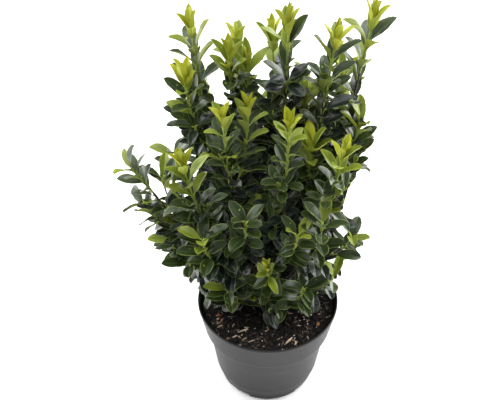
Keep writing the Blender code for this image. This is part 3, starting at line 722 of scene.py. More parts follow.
BOUGH_TIP_RADIUS = 2.1 * MM
LINE_GAP = 6.6 * MM


# %% Lines that can be read by distance
class Line:
    """A cubic curve of four control points, read by the distance along it, for one distance or an array."""

    def __init__(self, p0, p1, p2, p3, count=80):
        t = np.linspace(0, 1, count)[:, None]
        u = 1 - t
        self.points = p0 * u**3 + p1 * 3 * u * u * t + p2 * 3 * u * t * t + p3 * t**3
        steps = np.linalg.norm(np.diff(self.points, axis=0), axis=1)
        self.at = np.concatenate([[0], np.cumsum(steps)])
        self.length = float(self.at[-1])

    def point(self, s):
        return np.stack([np.interp(s, self.at, self.points[:, k]) for k in range(3)], -1)

    def way(self, s):
        """Direction at a distance: from 1 mm before it to 1 mm after it."""
        return unit(self.point(np.minimum(s + MM, self.length)) - self.point(np.maximum(s - MM, 0)))

    def spaced(self, step=2 * MM):
        return self.point(np.linspace(0, self.length, max(2, int(self.length / step))))


UP = np.array([0, 0, 1.0])
# How far a main shoot heads out and up as it leaves, as shares of its reach and rise: a bough's, a low one's
LEAVING_SHARES = ((0.50, 0.16), (0.60, 0.20))
STRAIGHT_SHARE = 0.42
FORK_DROP = 70 * MM


def main_line(mass, low, foot_share, foot_turn):
    """A main shoot: it leaves the crown stem outwards and reaches its tip at the tip's lean."""
    tip = np.array(mass.tip)
    reach = math.hypot(tip[0], tip[1])
    outward = np.array([tip[0], tip[1], 0]) / reach
    c, s = math.cos(foot_turn), math.sin(foot_turn)
    start_way = np.array([outward[0] * c - outward[1] * s, outward[0] * s + outward[1] * c, 0])
    start = UP * (SOIL_TOP + CROWN_HEIGHT * foot_share) + start_way * (0.35 * CROWN_TOP_RADIUS)
    rise = tip[2] - start[2]
    out_share, up_share = LEAVING_SHARES[low]
    leaving = start_way * reach * out_share + UP * rise * up_share
    lean = math.radians(mass.lean)
    tip_way = outward * math.sin(lean) + UP * math.cos(lean)
    return Line(start, start + leaving, tip - tip_way * (STRAIGHT_SHARE * rise), tip)


def fork_line(main, tip):
    """A fork: the wider its tip stands from the main shoot, the lower it leaves it."""
    tip = np.array(tip)
    beside = main.point(np.interp(tip[2], main.points[:, 2], main.at))
    height = tip[2] - FORK_DROP - 1.7 * math.hypot(tip[0] - beside[0], tip[1] - beside[1])
    start_at = max(np.interp(height, main.points[:, 2], main.at), BOUGH_LENGTH + 8 * MM)
    start = main.point(start_at)
    way = unit(tip - start)
    leaving = unit(way * 0.7 + main.way(start_at) * 0.3)
    arriving = UP * 0.85 + way * 0.15
    bend = np.linalg.norm(tip - start) * 0.4
    return Line(start, start + leaving * bend, tip - arriving * bend, tip)


# %% Every mass takes its foot on the crown stem
# Where a foot may be, as shares of the crown stem's height, for a bough and for a low shoot, and its turns
FOOT_SHARES = ((0.97, 0.88, 0.79, 0.70, 0.61, 0.52, 0.43), (0.36, 0.28, 0.20, 0.44))
FOOT_TURNS = (0, 0.22, -0.22, 0.44, -0.44)


def outside_crown(points):
    radius = np.hypot(points[:, 0], points[:, 1])
    return points[(radius > CROWN_TOP_RADIUS - BOUGH_FOOT_RADIUS) | (points[:, 2] - SOIL_TOP > CROWN_HEIGHT)]


def smallest_gap(points, others):
    return float(np.linalg.norm(points[:, None, :] - others[None, :, :], axis=2).min())


def place_masses():
    """The lines of each mass. The inner masses choose first, and each takes the highest foot that is free."""
    order = sorted(range(len(MASSES)), key=lambda i: (MASSES[i][1], math.hypot(*MASSES[i][0].tip[:2])))
    taken = np.array([[0, 0, -1.0]])
    lines = [None] * len(MASSES)
    for index in order:
        mass, low = MASSES[index]
        best = None
        for share, turn in product(FOOT_SHARES[low], FOOT_TURNS):
            main = main_line(mass, low, share, turn)
            own = [main, *(fork_line(main, tip) for tip in mass.forks)]
            points = outside_crown(np.concatenate([line.spaced() for line in own]))
            gap = min(smallest_gap(points, taken), LINE_GAP)
            if best is None or gap > best[0]:
                best = (gap, own, points)
        lines[index] = best[1]
        taken = np.concatenate([taken, best[2]])
    return lines


LINES = place_masses()
print(f"{len(LINES)} masses with {sum(len(own) for own in LINES)} shoots")

# %% [markdown]
# ## Bark
# The crown stem and the bare boughs carry thin, dark, slightly furrowed bark with small rings where leaves
# once stood. The relief is part of the mesh: each ring's radius is multiplied by a sum of waves that drift
# round the limb as they climb it. A finer relief comes from the material.

# %% Bark surfaces
CROWN_BASE = SOIL_TOP - 1.5 * MM


def bark_relief(s, angle, phase):
    """1 plus furrows: waves round the limb whose phase drifts with the distance along it."""
    waves = 0.5 * np.sin(4 * angle + 90 * s + phase) + 0.3 * np.sin(7 * angle - 160 * s + 2 * phase)
    fine = 0.35 * np.sin(11 * angle + 420 * s + 3 * phase) + 0.3 * np.sin(2 * angle + 700 * s)
    return 1 + 0.055 * (waves + fine)


def old_node_rings(s, spacing=15 * MM):
    """1 plus a narrow swelling at each old leaf scar: a bell of 1.3 mm every 15 mm."""
    off = (s + spacing / 2) % spacing - spacing / 2
    return 1 + 0.16 * np.exp(-((off / (1.3 * MM)) ** 2))


def crown_surface(rings=52, sides=56):
    """The crown stem: root flare, buttresses and a narrowing top, as in the CAD model, with the furrows."""
    share = np.linspace(0, 1, rings)[:, None]
    angle = ring_angles(sides)[None, :]
    flare = 5 * MM * np.exp(-4.5 * share)
    buttress = 1 + 0.12 * (1 - share) * np.cos(4 * angle + 0.6)
    radius = (CROWN_TOP_RADIUS + flare) * buttress * (1 - 0.35 * share**6)
    height = CROWN_BASE + (SOIL_TOP + 0.3 * MM + CROWN_HEIGHT - CROWN_BASE) * share + 0 * angle
    radius = radius * (2 * bark_relief(height, angle, 0.4) - 1)
    radius = np.concatenate([radius, radius[-1:] * 0.45])
    height = np.concatenate([height, height[-1:] + 1.6 * MM])
    return turned(radius, angle, height)


def bough_surface(line, index, sides=14):
    """One bough from inside the crown stem to its tip, tapering, with furrows and old node rings."""
    s = np.arange(0, BOUGH_LENGTH + MM, 1.5 * MM)
    radii = np.interp(s, (0, BOUGH_LENGTH), (BOUGH_FOOT_RADIUS, BOUGH_TIP_RADIUS)) * old_node_rings(s)
    relief = bark_relief(s[:, None], ring_angles(sides, 0.5)[None, :], index)
    return sweep(line.point(s), line.way(s), radii, sides, relief)


def make_bark():
    """Three dark browns in clouds, with paler scales."""
    bark = Finish("bark", Specular_IOR_Level=0.3)
    cloud, _ = bark.masks(MOTTLE, Scale=120.0)
    scale, fine = bark.masks(MOTTLE, Scale=420.0)
    tone = bark.ramp(cloud, (0.32, (0.014, 0.010, 0.008)), (0.5, (0.040, 0.030, 0.022)),
                     (0.68, (0.085, 0.066, 0.046)))
    tone = bark.mix(bark.between(scale, 0, 0.7, 0.60, 0.72), tone, (0.145, 0.120, 0.090))
    relief = bark.sum_of((scale, 1.0), (fine, 0.4))
    return bark.wear(tone, bark.between(fine, 0.6, 0.95), relief, 0.5 * MM, 0.7)


BARK = make_bark()
crown = tube_mesh("crown_stem_bark", [crown_surface()], [BARK])
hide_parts("crown_stem")
bough_tubes = [bough_surface(LINES[i][0], i) for i in range(len(BOUGH_MASSES))]
boughs = tube_mesh("bough_bark", bough_tubes, [BARK])
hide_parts(*("bough_" + mass.name for mass in BOUGH_MASSES))
for limb in (crown, boughs):
    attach(limb, "root")

# %% [markdown]
# ## Shoots, twigs and nodes
# Leaves stand on nodes. Near a shoot's tip the nodes crowd together, and lower down they settle at 11 mm.
# From the lower nodes short twigs grow on at an angle and turn upright, and they carry nodes of their own.
# A shoot is kept as a record: its line, where its leaves begin, how thick it is, and how old its tip is.

# %% Where the nodes stand
NODE_SPACING = 11.0 * MM
# first is the distance of its lowest node, start that of its own stem, radii are at start and tip, key and
# turn set its chances and the heading of its leaves, and level is 0 for a shoot and 1 for a side twig
Shoot = namedtuple("Shoot", "line first start radii owner key turn tip_age low level")


def node_distances(length):
    """Distances of the nodes below the tip: the steps start at 3.5 mm and grow to the full spacing."""
    steps = np.minimum(NODE_SPACING, 3.5 * MM + np.arange(60) * 2.2 * MM)
    below = np.concatenate([[0], np.cumsum(steps)])
    return below[below <= length]


def node_frames(shoot):
    """At each node: its distance along, its distance below the tip, its place, and the directions there."""
    below = node_distances(shoot.line.length - shoot.first)
    s = shoot.line.length - below
    along = shoot.line.way(s)
    return s, below, shoot.line.point(s), along, *cross_directions(along)


# %% Main shoots and forks
# Forks, by mass and number, that would stand against the sky in the photograph
OPEN_FORKS = {("right_side", 1)}
# Shoots whose pairs of leaves stand at 45 degrees to the view
DIAGONAL_SHOOTS = ("front_centre", "mid_left")
# Age of the newest leaves of a mass, and of its forks, in mm of growth: most shoots grew until lately
TIP_AGES = {"left_arm": 40, "front_centre": 8, "front_right": 4, "right_side": 18, "back_mid": 12,
            "back_left": 22, "back_centre": 16, "back_right": 26, "low_front": 60, "low_right": 55,
            "low_far_left": 60}
FORK_TIP_AGES = {"front_centre": (34, 5), "front_right": (38, 50), "mid_left": (6, 54), "front_left": (34,),
                 "left_tall": (4, 10), "centre_left": (2, 8), "centre_tall": (5, 22), "right_side": (48,)}
LOW_TIP_AGE = 46


def main_shoots():
    """The shoots on the CAD model's own lines: mains first, then forks."""
    made = []
    for owner, (mass, low) in enumerate(MASSES):
        for i, line in enumerate(LINES[owner]):
            if (mass.name, i) in OPEN_FORKS:
                continue
            start = BOUGH_LENGTH if i == 0 and not low else 0
            first = 17 * MM if low else start + (5 * MM if i == 0 else 14 * MM)
            radii = (2.0 * MM, 1.0 * MM) if i == 0 else (1.5 * MM, 0.9 * MM)
            turn = either_way(0.35, owner, i) + (math.pi / 4 if mass.name in DIAGONAL_SHOOTS else 0)
            tip_age = TIP_AGES.get(mass.name, LOW_TIP_AGE if low else 0)
            if i > 0:
                tip_age = FORK_TIP_AGES.get(mass.name, (tip_age + 12, tip_age + 24))[i - 1]
            made.append(Shoot(line, first, start, radii, owner, owner * 7 + i, turn, tip_age * MM, low, 0))
    return made


# %% Twigs from the lower nodes
# Twigs grow from nodes further below the tip than this. The highest have this share of their length, and
# the share grows by 1 in this many metres further down, until it is 1
TWIG_START = 62 * MM
LEAST_GROWTH = 0.55
GROWTH_DISTANCE = 0.16
# How often a node's side carries a twig, on an upright shoot and on a low one
TWIG_CHANCES = (0.26, 0.42)


def side_twigs(shoot):
    """Short twigs: from some nodes well below the tip, a curve that leaves at an angle and turns upright."""
    _, below, place, along, u, v = node_frames(shoot)
    made = []
    for node, half in product(np.nonzero(below > TWIG_START)[0], range(2)):
        own = (shoot.key, int(node), half)
        if chance(*own, 21) > TWIG_CHANCES[shoot.low]:
            continue
        turn = shoot.turn + (node / 2 + half) * math.pi + either_way(0.3, *own, 22)
        radial = u[node] * math.cos(turn) + v[node] * math.sin(turn)
        opening = spread(0.55, 0.95, *own, 23)
        leave = along[node] * math.cos(opening) + radial * math.sin(opening)
        grown = min(1.0, LEAST_GROWTH + (below[node] - TWIG_START) / GROWTH_DISTANCE)
        length = spread(20, 42, *own, 24) * MM * grown
        tip = place[node] + unit(leave + UP * 0.45) * length
        arrive = unit(leave * 0.5 + UP * 0.8)
        line = Line(place[node], place[node] + leave * length / 3, tip - arrive * length / 3, tip, 16)
        key = 500 + shoot.key * 61 + int(node) * 2 + half
        tip_age = spread(44, 150, *own, 25) * MM
        made.append(Shoot(line, 6 * MM, 0, (0.9 * MM, 0.6 * MM), shoot.owner, key,
                          spread(0, math.pi, *own, 26), tip_age, shoot.low, 1))
    return made


# %% Twigs that show clearly in the photograph
# Their mass, how far up its main shoot they leave it as a share of its length, their tip in mm, and its age
CLEAR_TWIGS = (
    ("left_arm", 0.80, (-152, -18, 326), 52), ("left_arm", 0.62, (-145, -14, 304), 76),
    ("low_far_left", 0.66, (-118, -32, 232), 130), ("front_left", 0.72, (-119, -56, 388), 54),
)


def clear_twigs():
    """A curve from the main shoot to each twig's tip: it leaves straight towards it and ends more upright."""
    made = []
    names = [mass.name for mass, _ in MASSES]
    for number, (name, share, tip, tip_age) in enumerate(CLEAR_TWIGS):
        owner = names.index(name)
        main = LINES[owner][0]
        start, end = main.point(share * main.length), np.array(tip) * MM
        bend = np.linalg.norm(end - start) / 3
        way = unit(end - start)
        line = Line(start, start + way * bend, end - unit(way * 0.6 + UP * 0.6) * bend, end, 30)
        made.append(Shoot(line, 10 * MM, 0, (1.1 * MM, 0.7 * MM), owner, 4000 + number,
                          spread(0, math.pi, number, 77), tip_age * MM, False, 0))
    return made


# The shoots nearest the front come first, so that they find room for all their leaves
MAINS = sorted(main_shoots() + clear_twigs(), key=lambda shoot: shoot.line.points[-1, 1])
TWIGS = [twig for shoot in MAINS for twig in side_twigs(shoot)]
print(f"{len(MAINS)} shoots and {len(TWIGS)} side twigs")

# %% [markdown]
# ## Leaves: where they stand
# At every node two leaves face each other, and each pair is a quarter turn from the pair below. Towards the
# tip the leaves are shorter, more folded and closer to the stem. Lower down they open wide and hang. A leaf
# that would touch the soil, the pot or the crown stem, leave the crown's reach, or bring its midrib too
# near another leaf's is left out, as it is in the CAD model. The blades' edges aren't tested, so a few
# leaves still cross. A leaf is also left out where it would fill a place where the photograph shows sky
# between the shoots, or bare soil in front of them.

# %% Leaf stages
# Below the tip in mm: length in mm, opening from the stem in degrees, fold and bend in radians
STAGES = np.array([
    (0, 21, 5, 0.95, 0.12), (8, 26, 15, 0.85, 0.22), (18, 31, 30, 0.66, 0.30), (34, 31, 37, 0.58, 0.42),
    (60, 30, 40, 0.54, 0.48), (110, 29, 42, 0.50, 0.54), (170, 31, 50, 0.38, 0.56), (300, 34, 64, 0.24, 0.48),
])
STALK_LENGTH = 3.2 * MM
# Leaves of some masses are longer or shorter than the stages say, and those of side twigs are shorter
LEAF_SCALES = {"left_tall": 1.12, "centre_left": 1.10, "centre_tall": 1.12, "right_mid": 1.14,
               "right_tall": 1.12, "front_left": 1.06, "left_arm": 0.96, "mid_left": 0.96,
               "front_centre": 0.88}
TWIG_LEAF_SCALE = 0.86
# Leaves turn their upper side a little towards the light, which came from the front and above
LIGHT_PULL = 0.26 * np.array([0, -0.5, 0.866])


def stage(below, column):
    return np.interp(below / MM, STAGES[:, 0], STAGES[:, column])


def candidate_leaves(shoot):
    """Every leaf that the shoot's nodes could carry, as arrays with two rows for each node."""
    s, below, place, along, u, v = (np.repeat(part, 2, axis=0) for part in node_frames(shoot))
    node, half = np.divmod(np.arange(len(s)), 2)
    own = (shoot.key + 0 * node, node, half)
    age = below + shoot.tip_age
    turn = shoot.turn + (node / 2 + half) * math.pi + either_way(0.20, *own, 1)
    opening = np.radians(stage(age * (1.25 if shoot.low else 1), 2)) + either_way(0.17, *own, 5)
    if shoot.low:
        opening += 0.25 * np.clip((age - 40 * MM) / (80 * MM), 0, 1)
    radial = u * np.cos(turn)[:, None] + v * np.sin(turn)[:, None]
    way = along * np.cos(opening)[:, None] + radial * np.sin(opening)[:, None]
    face = along * np.sin(opening)[:, None] - radial * np.cos(opening)[:, None]
    roll = either_way(0.32, *own, 9)[:, None]
    face = square_part(face * np.cos(roll) + np.cross(way, face) * np.sin(roll) + LIGHT_PULL, way)
    scale = LEAF_SCALES.get(MASSES[shoot.owner][0].name, 1) * (TWIG_LEAF_SCALE if shoot.level else 1)
    stem = np.interp(s, (shoot.start, shoot.line.length), shoot.radii)
    return {
        "foot": place + radial * (stem * 0.9)[:, None] + way * STALK_LENGTH, "way": way, "face": face,
        "length": stage(age, 1) * MM * (1 + either_way(0.13, *own, 13)) * scale, "age": age,
        "stem_point": place, "stem_way": along, "radial": radial, "stem": stem,
        "bend": stage(age, 4) * spread(0.55, 1.35, *own, 11),
        "fold": stage(age, 3) * spread(0.7, 1.25, *own, 14),
        "width": spread(0.48, 0.56, *own, 15) - 0.09 * np.exp(-age / (14 * MM)),
        "point": 0.58 + 0.16 * np.exp(-age / (60 * MM)) + either_way(0.06, *own, 19),
        "draw": chance(*own, 17),
    }


def rib_points(leaf, t):
    """Points on the midribs at shares t of their length: arcs that bend away from the upper side.

    Along the first direction the arc has gone length * sin(b t) / b, and downwards
    length * (1 - cos(b t)) / b.
    """
    b = leaf["bend"][:, None]
    run = (leaf["length"][:, None] * np.sin(b * t) / b)[..., None]
    drop = (leaf["length"][:, None] * (1 - np.cos(b * t)) / b)[..., None]
    return leaf["foot"][:, None] + leaf["way"][:, None] * run - leaf["face"][:, None] * drop


# %% Places that stay open
# Each is x, z and radius in mm on the upright plane through the pot's axis, as seen from the camera
OPEN_PLACES = np.array([
    # beside the right flank
    (114, 475, 9), (115, 459, 8), (119, 443, 7), (122, 335, 15), (107, 337, 7), (120, 308, 11), (110, 200, 9),
    (110, 173, 12), (101, 156, 7), (137, 268, 9), (134, 236, 9), (127, 418, 5), (127, 384, 6), (135, 530, 9),
    (133, 500, 8), (100, 321, 5), (100, 298, 6), (94, 261, 4), (82, 211, 4), (107, 205, 5), (97, 196, 4),
    # beside the left flank
    (-121, 186, 8), (-119, 168, 8), (-107, 156, 4), (-170, 284, 7), (-134, 331, 7),
    (-129, 408, 6), (-111, 414, 6),
    # between the upright shoots
    (-63, 489, 7), (-59, 469, 7), (-12, 473, 3), (35, 528, 6), (49, 516, 5), (-15, 533, 6), (-5, 502, 4),
    # over the front of the soil
    (-50, 88, 11), (-25, 84, 10), (48, 86, 11), (74, 106, 8), (-6, 78, 8), (24, 80, 8), (74, 142, 4),
]) * MM


def in_open_place(tested):
    """Whether a point hides an open place: its line of sight meets the plane y = 0 inside the place.

    The meeting point is camera + (point - camera) * camera_y / (camera_y - point_y). Heights count for
    three quarters, because the camera looks down on the plane.
    """
    eye = np.array(CAMERA_PLACE)
    met = eye + (tested - eye) * (eye[1] / (eye[1] - tested[..., 1]))[..., None]
    across = met[..., :1] - OPEN_PLACES[:, 0]
    upwards = (met[..., 2:] - OPEN_PLACES[:, 1]) * 0.75
    return (np.hypot(across, upwards) < OPEN_PLACES[:, 2] + 2 * MM).any(-1)


# %% Leaves that find room
# A shoot or twig isn't grown where fewer leaves than this find room
FEWEST_LEAVES = 4
REACH = 44 * MM
LIMITS = np.array(cad_box) + np.array([[-1], [1]]) * 7 * MM
# Least distance between the midribs of two leaves, for a leaf on a shoot and for one on a side twig
LEAF_GAPS = (1.5 * MM, 3.2 * MM)
TESTED_SHARES = np.array([0.3, 0.5, 0.7, 0.86, 1.0])
# A shoot's points are measured only against points this near to their middle, in metres along each axis
NEIGHBOURHOOD = 0.18


def has_room(tested, line_points):
    """For each leaf, whether its tested points keep off soil, pot and crown stem and stay within reach."""
    radius = np.hypot(tested[..., 0], tested[..., 1])
    height = tested[..., 2]
    bad = height < SOIL_TOP + 3.5 * MM
    bad |= (height < SOIL_TOP + CROWN_HEIGHT + 3 * MM) & (radius < CROWN_TOP_RADIUS + 4 * MM)
    bad |= (height < POT_HEIGHT + 2 * MM) & (radius > pot_inner_radius(SOIL_TOP) - 2 * MM)
    bad |= (tested < LIMITS[0]).any(-1) | (tested > LIMITS[1]).any(-1)
    bad |= in_open_place(tested)
    far = np.linalg.norm(tested[:, -1:] - line_points[None], axis=2).min(1) > REACH
    return ~(bad.any(1) | far)


def grow_leaves():
    """The leaves, and the shoots that carry them: each shoot's candidates in turn, less those too close."""
    lines = [np.concatenate([line.spaced(4 * MM) for line in own]) for own in LINES]
    standing = np.empty((0, 3))
    kept, bare = [], set()
    for shoot in MAINS + TWIGS:
        leaf = candidate_leaves(shoot)
        tested = rib_points(leaf, TESTED_SHARES)
        good = has_room(tested, lines[shoot.owner])
        others = standing[np.abs(standing - tested.reshape(-1, 3).mean(0)).max(1) < NEIGHBOURHOOD]
        if len(others):
            gaps = np.linalg.norm(tested.reshape(-1, 1, 3) - others[None], axis=2).min(1)
            good &= gaps.reshape(len(tested), -1).min(1) > LEAF_GAPS[shoot.level]
        if good.sum() < FEWEST_LEAVES:
            bare.add(shoot.key)
            continue
        standing = np.concatenate([standing, tested[good].reshape(-1, 3)])
        kept.append({name: value[good] for name, value in leaf.items()})
    leafy = [shoot for shoot in MAINS + TWIGS if shoot.key not in bare]
    return {name: np.concatenate([leaf[name] for leaf in kept]) for name in kept[0]}, leafy


LEAVES, LEAFY_SHOOTS = grow_leaves()
print(f"{len(LEAVES['length'])} leaves on {len(LEAFY_SHOOTS)} shoots and twigs")

# %% [markdown]
# ## Leaves: their shape
# A spindle leaf is a leathery ellipse, folded up along its midrib, with its tip curled back. Young leaves
# are more pointed than old ones. Each leaf here is a closed tube whose rings are thin lenses: five points
# across its upper side and three across its lower side. The outermost strip is its margin, painted pale as a
# highlight along the edge.

# %% Leaf surface
ACROSS = np.array([-1, -0.92, 0, 0.92, 1, 0.92, 0, -0.92])
LOWER_SIDE = np.array([0, 0, 0, 0, 0, 1, 1, 1])
# Material slot of each column: 0 upper side, 1 lower side, 2 the margin with its painted edge highlight
COLUMN_SLOTS = (2, 0, 0, 2, 2, 1, 1, 2)
ALONG = np.array([0, 0.07, 0.22, 0.42, 0.62, 0.79, 0.92, 1.0])
LEAF_THICKNESS = 0.45 * MM


def half_width(t, point):
    """Half the blade's width as a share of its greatest: t^0.75 * (1 - t)^point, scaled to peak at 1."""
    peak = 0.75 / (0.75 + point)
    return t**0.75 * (1 - t) ** point / (peak**0.75 * (1 - peak) ** point)


def leaf_surfaces(leaf):
    """Rings of all the leaves at once, shaped (leaves, rings, 8, 3), and their UV.

    The midrib is the bent arc. Across it a point lies at width * c * cos(fold) to the side and at
    width * (sin(fold) |c| - cup c^2) above the rib, plus a wave along the margin.
    """
    b = leaf["bend"][:, None] * ALONG
    rib = rib_points(leaf, ALONG)
    side = np.cross(leaf["way"], leaf["face"])[:, None, None]
    upright = leaf["face"][:, None] * np.cos(b)[..., None] + leaf["way"][:, None] * np.sin(b)[..., None]
    outline = half_width(ALONG, leaf["point"][:, None])
    half = np.maximum(outline * (leaf["width"] * leaf["length"])[:, None] / 2, 0.35 * MM)[..., None]
    fold = leaf["fold"][:, None, None]
    wave = 0.10 * np.sin(9 * ALONG[None, :, None] + 6 * leaf["draw"][:, None, None] + np.sign(ACROSS))
    lift = half * (np.sin(fold) * np.abs(ACROSS) + (wave - 0.16) * ACROSS**2)
    lift = lift - LEAF_THICKNESS * LOWER_SIDE * (1 - 0.4 * ACROSS**2)
    out = half * ACROSS * np.cos(fold)
    points = rib[:, :, None] + side * out[..., None] + upright[:, :, None] * lift[..., None]
    uv = np.stack(np.broadcast_arrays(ACROSS / 2 + 0.5, ALONG[:, None]), -1)
    return points, np.broadcast_to(uv, (*points.shape[:3], 2))


# %% [markdown]
# ## Leaves: their colours
# The youngest leaves are yellow-green, then bright green, and with age they turn a deep, glossy green. The
# two oldest tones are also darkened and tinted blue as painted shade, for the older leaves stand low and deep
# in the crown. A whole leaf has one plain tone, dealt out by its age with a little chance in it. The upper
# side shines softly. The lower side is paler and matte. The margin is a thin strip painted pale as a
# highlight along the leaf's edge, which shows best on dark leaves.

# %% Leaf materials
def make_upper(name, colour, light, rib, roughness):
    """Upper side: two close tones mottled, a paler rib, soft gloss, and side veins as a slight relief."""
    leaf = Finish(name, Specular_IOR_Level=0.44, Coat_Weight=0.08, Coat_Roughness=0.28)
    cloud, fine = leaf.masks(MOTTLE, Scale=70.0)
    midrib, veins = leaf.masks(VEINS)
    tone = leaf.ramp(cloud, (0.30, colour), (0.72, light))
    tone = leaf.mix(leaf.between(midrib, 0, 0.16), tone, rib)
    rough = leaf.between(fine, roughness - 0.06, roughness + 0.10)
    return leaf.wear(tone, rough, leaf.sum_of((veins, 0.35), (midrib, -0.8), (fine, 0.5)), 0.22 * MM, 0.45)


def make_under(name, colour, rib, roughness=0.62):
    """Lower side: paler and matte, with the rib standing out."""
    leaf = Finish(name, Specular_IOR_Level=0.35)
    cloud, fine = leaf.masks(MOTTLE, Scale=90.0)
    midrib, veins = leaf.masks(VEINS)
    tone = leaf.ramp(cloud, (0.3, tuple(0.84 * c for c in colour)), (0.7, colour))
    tone = leaf.mix(leaf.between(midrib, 0, 0.25), tone, rib)
    rough = leaf.between(fine, roughness - 0.08, roughness + 0.12)
    return leaf.wear(tone, rough, leaf.sum_of((veins, 0.5), (midrib, 1.0)), 0.25 * MM, 0.5)


def make_margin_highlight(name, colour):
    """The thin margin: one pale tone, a painted highlight along the leaf's edge, with fine mottling."""
    rim = Finish(name, Specular_IOR_Level=0.4)
    cloud, fine = rim.masks(MOTTLE, Scale=150.0)
    tone = rim.mix(cloud, tuple(0.8 * c for c in colour), colour)
    return rim.wear(tone, rim.between(fine, 0.42, 0.62), fine, 0.1 * MM, 0.3)


# Name, age in mm below which it applies, upper side, its lighter tone, lower side, margin, roughness.
# The margin's pale tone is a painted highlight along the leaf's edge, and it also tints the midrib. The
# last two tones are darker and bluer than age alone makes them: painted shade for the leaves deep in the
# crown.
TONES = (
    ("tip", 12, (0.32, 0.350, 0.010), (0.42, 0.435, 0.018), (0.43, 0.46, 0.030),
     (0.42, 0.46, 0.05), 0.46),
    ("young", 36, (0.125, 0.172, 0.014), (0.215, 0.270, 0.024), (0.40, 0.45, 0.050),
     (0.42, 0.48, 0.08), 0.38),
    ("fresh", 96, (0.014, 0.028, 0.008), (0.029, 0.053, 0.012), (0.280, 0.330, 0.062),
     (0.26, 0.32, 0.09), 0.31),
    ("mature_and_shaded", 185, (0.004, 0.009, 0.008), (0.010, 0.018, 0.012), (0.100, 0.125, 0.052),
     (0.16, 0.20, 0.10), 0.27),
    ("old", 1000, (0.004, 0.009, 0.009), (0.009, 0.016, 0.013), (0.030, 0.042, 0.025),
     (0.10, 0.13, 0.08), 0.25),
)
FOLIAGE_NODES = ["leaves_" + mass.name for mass, _ in MASSES]

# %% Leaves by tone
def leaves_where(mask):
    return {name: value[mask] for name, value in LEAVES.items()}


def deal_leaves():
    """A piece of leaves for each tone. Chance blurs the age that decides, by up to 45 % either way."""
    dealt_age = LEAVES["age"] / MM * (0.55 + 0.90 * LEAVES["draw"])
    least = -1.0
    # margin is the pale tone of the edge strip, a painted highlight, and it also tints the midrib
    for name, most, upper, light, under, margin, roughness in TONES:
        points, uv = leaf_surfaces(leaves_where((dealt_age > least) & (dealt_age <= most)))
        least = most
        made = tube_mesh(f"leaves_{name}", [points], [
            make_upper(f"leaf_{name}", upper, light, margin, roughness),
            make_under(f"leaf_{name}_under", under, margin),
            make_margin_highlight(f"leaf_{name}_margin", margin)], COLUMN_SLOTS, [uv], sharp_columns=(0, 2, 4, 6))
        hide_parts(*FOLIAGE_NODES)
        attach(made, "root")


deal_leaves()

# %% [markdown]
# ## Stems and leaf stalks
# The stems are green at a young tip and dark brown 7 to 14 cm further down, or less below an older tip. The
# mesh stores that age for every point, and the material reads it. Each leaf's pale green stalk runs down
# its stem as a low ridge, which is what draws the bright lines on the dark stems.

# %% Stems
# Distance in mm over which a mass's stems turn from green to brown: its front shoots stay green for longest
GREEN_LENGTHS = {"front_centre": 230, "front_left": 190, "mid_left": 170, "left_tall": 150, "right_mid": 150}
USUAL_GREEN_LENGTH = 110


def stem_surface(shoot):
    """A tapering stem from its start to its tip, with a swelling at each node, and its age at each point."""
    green = GREEN_LENGTHS.get(MASSES[shoot.owner][0].name, USUAL_GREEN_LENGTH) * MM
    count = max(4, int((shoot.line.length - shoot.start) / (3 * MM)))
    s = np.linspace(max(0, shoot.start - 1.5 * MM), shoot.line.length - 0.5 * MM, count)
    below = shoot.line.length - s
    nodes = node_distances(shoot.line.length)
    swelling = 1 + 0.22 * np.exp(-((np.abs(below[:, None] - nodes).min(1) / (2 * MM)) ** 2))
    radii = np.interp(s, (shoot.start, shoot.line.length), shoot.radii) * swelling
    sides = 6 if shoot.level else 8
    age = np.repeat(((below + shoot.tip_age * 0.6) / green)[:, None], sides, 1)
    return sweep(shoot.line.point(s), shoot.line.way(s), radii, sides), np.clip(age, 0, 1)


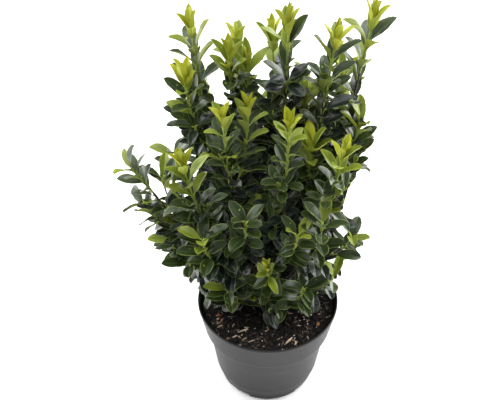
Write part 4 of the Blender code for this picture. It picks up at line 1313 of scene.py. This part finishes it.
def make_stem_finish():
    """Bright green at first, olive at age 0.4 and dark brown from 0.6, with corky spots."""
    stem = Finish("stem", Specular_IOR_Level=0.4)
    cork, fine = stem.masks(MOTTLE, Scale=220.0)
    age = add_node(stem.tree, "ShaderNodeAttribute", attribute_name="age").outputs["Fac"]
    tone = stem.ramp(stem.sum_of((age, 1.0), (cork, 0.16)), (0.14, (0.42, 0.50, 0.08)),
                     (0.42, (0.17, 0.23, 0.040)), (0.62, (0.030, 0.027, 0.018)), (0.9, (0.024, 0.018, 0.014)))
    tone = stem.mix(stem.between(fine, 0, 0.35, 0.55, 0.75), tone, (0.10, 0.085, 0.05))
    return stem.wear(tone, stem.between(fine, 0.45, 0.75), fine, 0.2 * MM, 0.5)


stem_tubes, stem_ages = zip(*(stem_surface(shoot) for shoot in LEAFY_SHOOTS))
stems = tube_mesh("shoot_stems", stem_tubes, [make_stem_finish()], age=stem_ages)


# %% Leaf stalks
def stalk_surfaces(leaf, sides=5):
    """Each stalk: from low on its stem up along it, then out along the leaf's way to the blade's foot."""
    stem_way, radial, way, foot = (leaf[name] for name in ("stem_way", "radial", "way", "foot"))
    start = leaf["stem_point"] + radial * (leaf["stem"] * 0.75)[:, None]
    ridge = np.minimum(7 * MM, 0.25 * leaf["age"] + 1.5 * MM)[:, None]
    stations = np.stack([
        start - stem_way * ridge, start - stem_way * ridge * 0.4 + radial * 0.3 * MM,
        start + radial * 0.3 * MM, foot - way * 0.9 * MM,
        foot + way * 1.6 * MM - leaf["face"] * 0.25 * MM], 1)
    along = unit(np.stack([stem_way, stem_way, stem_way + way, way, way], 1))
    u = square_part(leaf["face"][:, None], along)
    radius = (np.array([0.30, 0.85, 0.95, 0.85, 0.40]) * MM)[None, :, None, None]
    return stations[:, :, None] + circles(u, np.cross(along, u), ring_angles(sides)) * radius


def deal_stalks(name, mask, pale, deep):
    finish = mottled(f"stalk_{name}", 0.4, 160.0, ((0.3, deep), (0.7, pale)), (0.4, 0.65), (0.1 * MM, 0.4))
    return tube_mesh(f"leaf_stalks_{name}", [stalk_surfaces(leaves_where(mask))], [finish])


# Stalks are bright on the younger part and duller on the old part
young = LEAVES["age"] < 120 * MM
young_stalks = deal_stalks("young", young, (0.42, 0.50, 0.08), (0.24, 0.33, 0.045))
old_stalks = deal_stalks("old", ~young, (0.16, 0.21, 0.06), (0.07, 0.10, 0.03))

for piece in (stems, young_stalks, old_stalks):
    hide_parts(*FOLIAGE_NODES)
    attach(piece, "root")
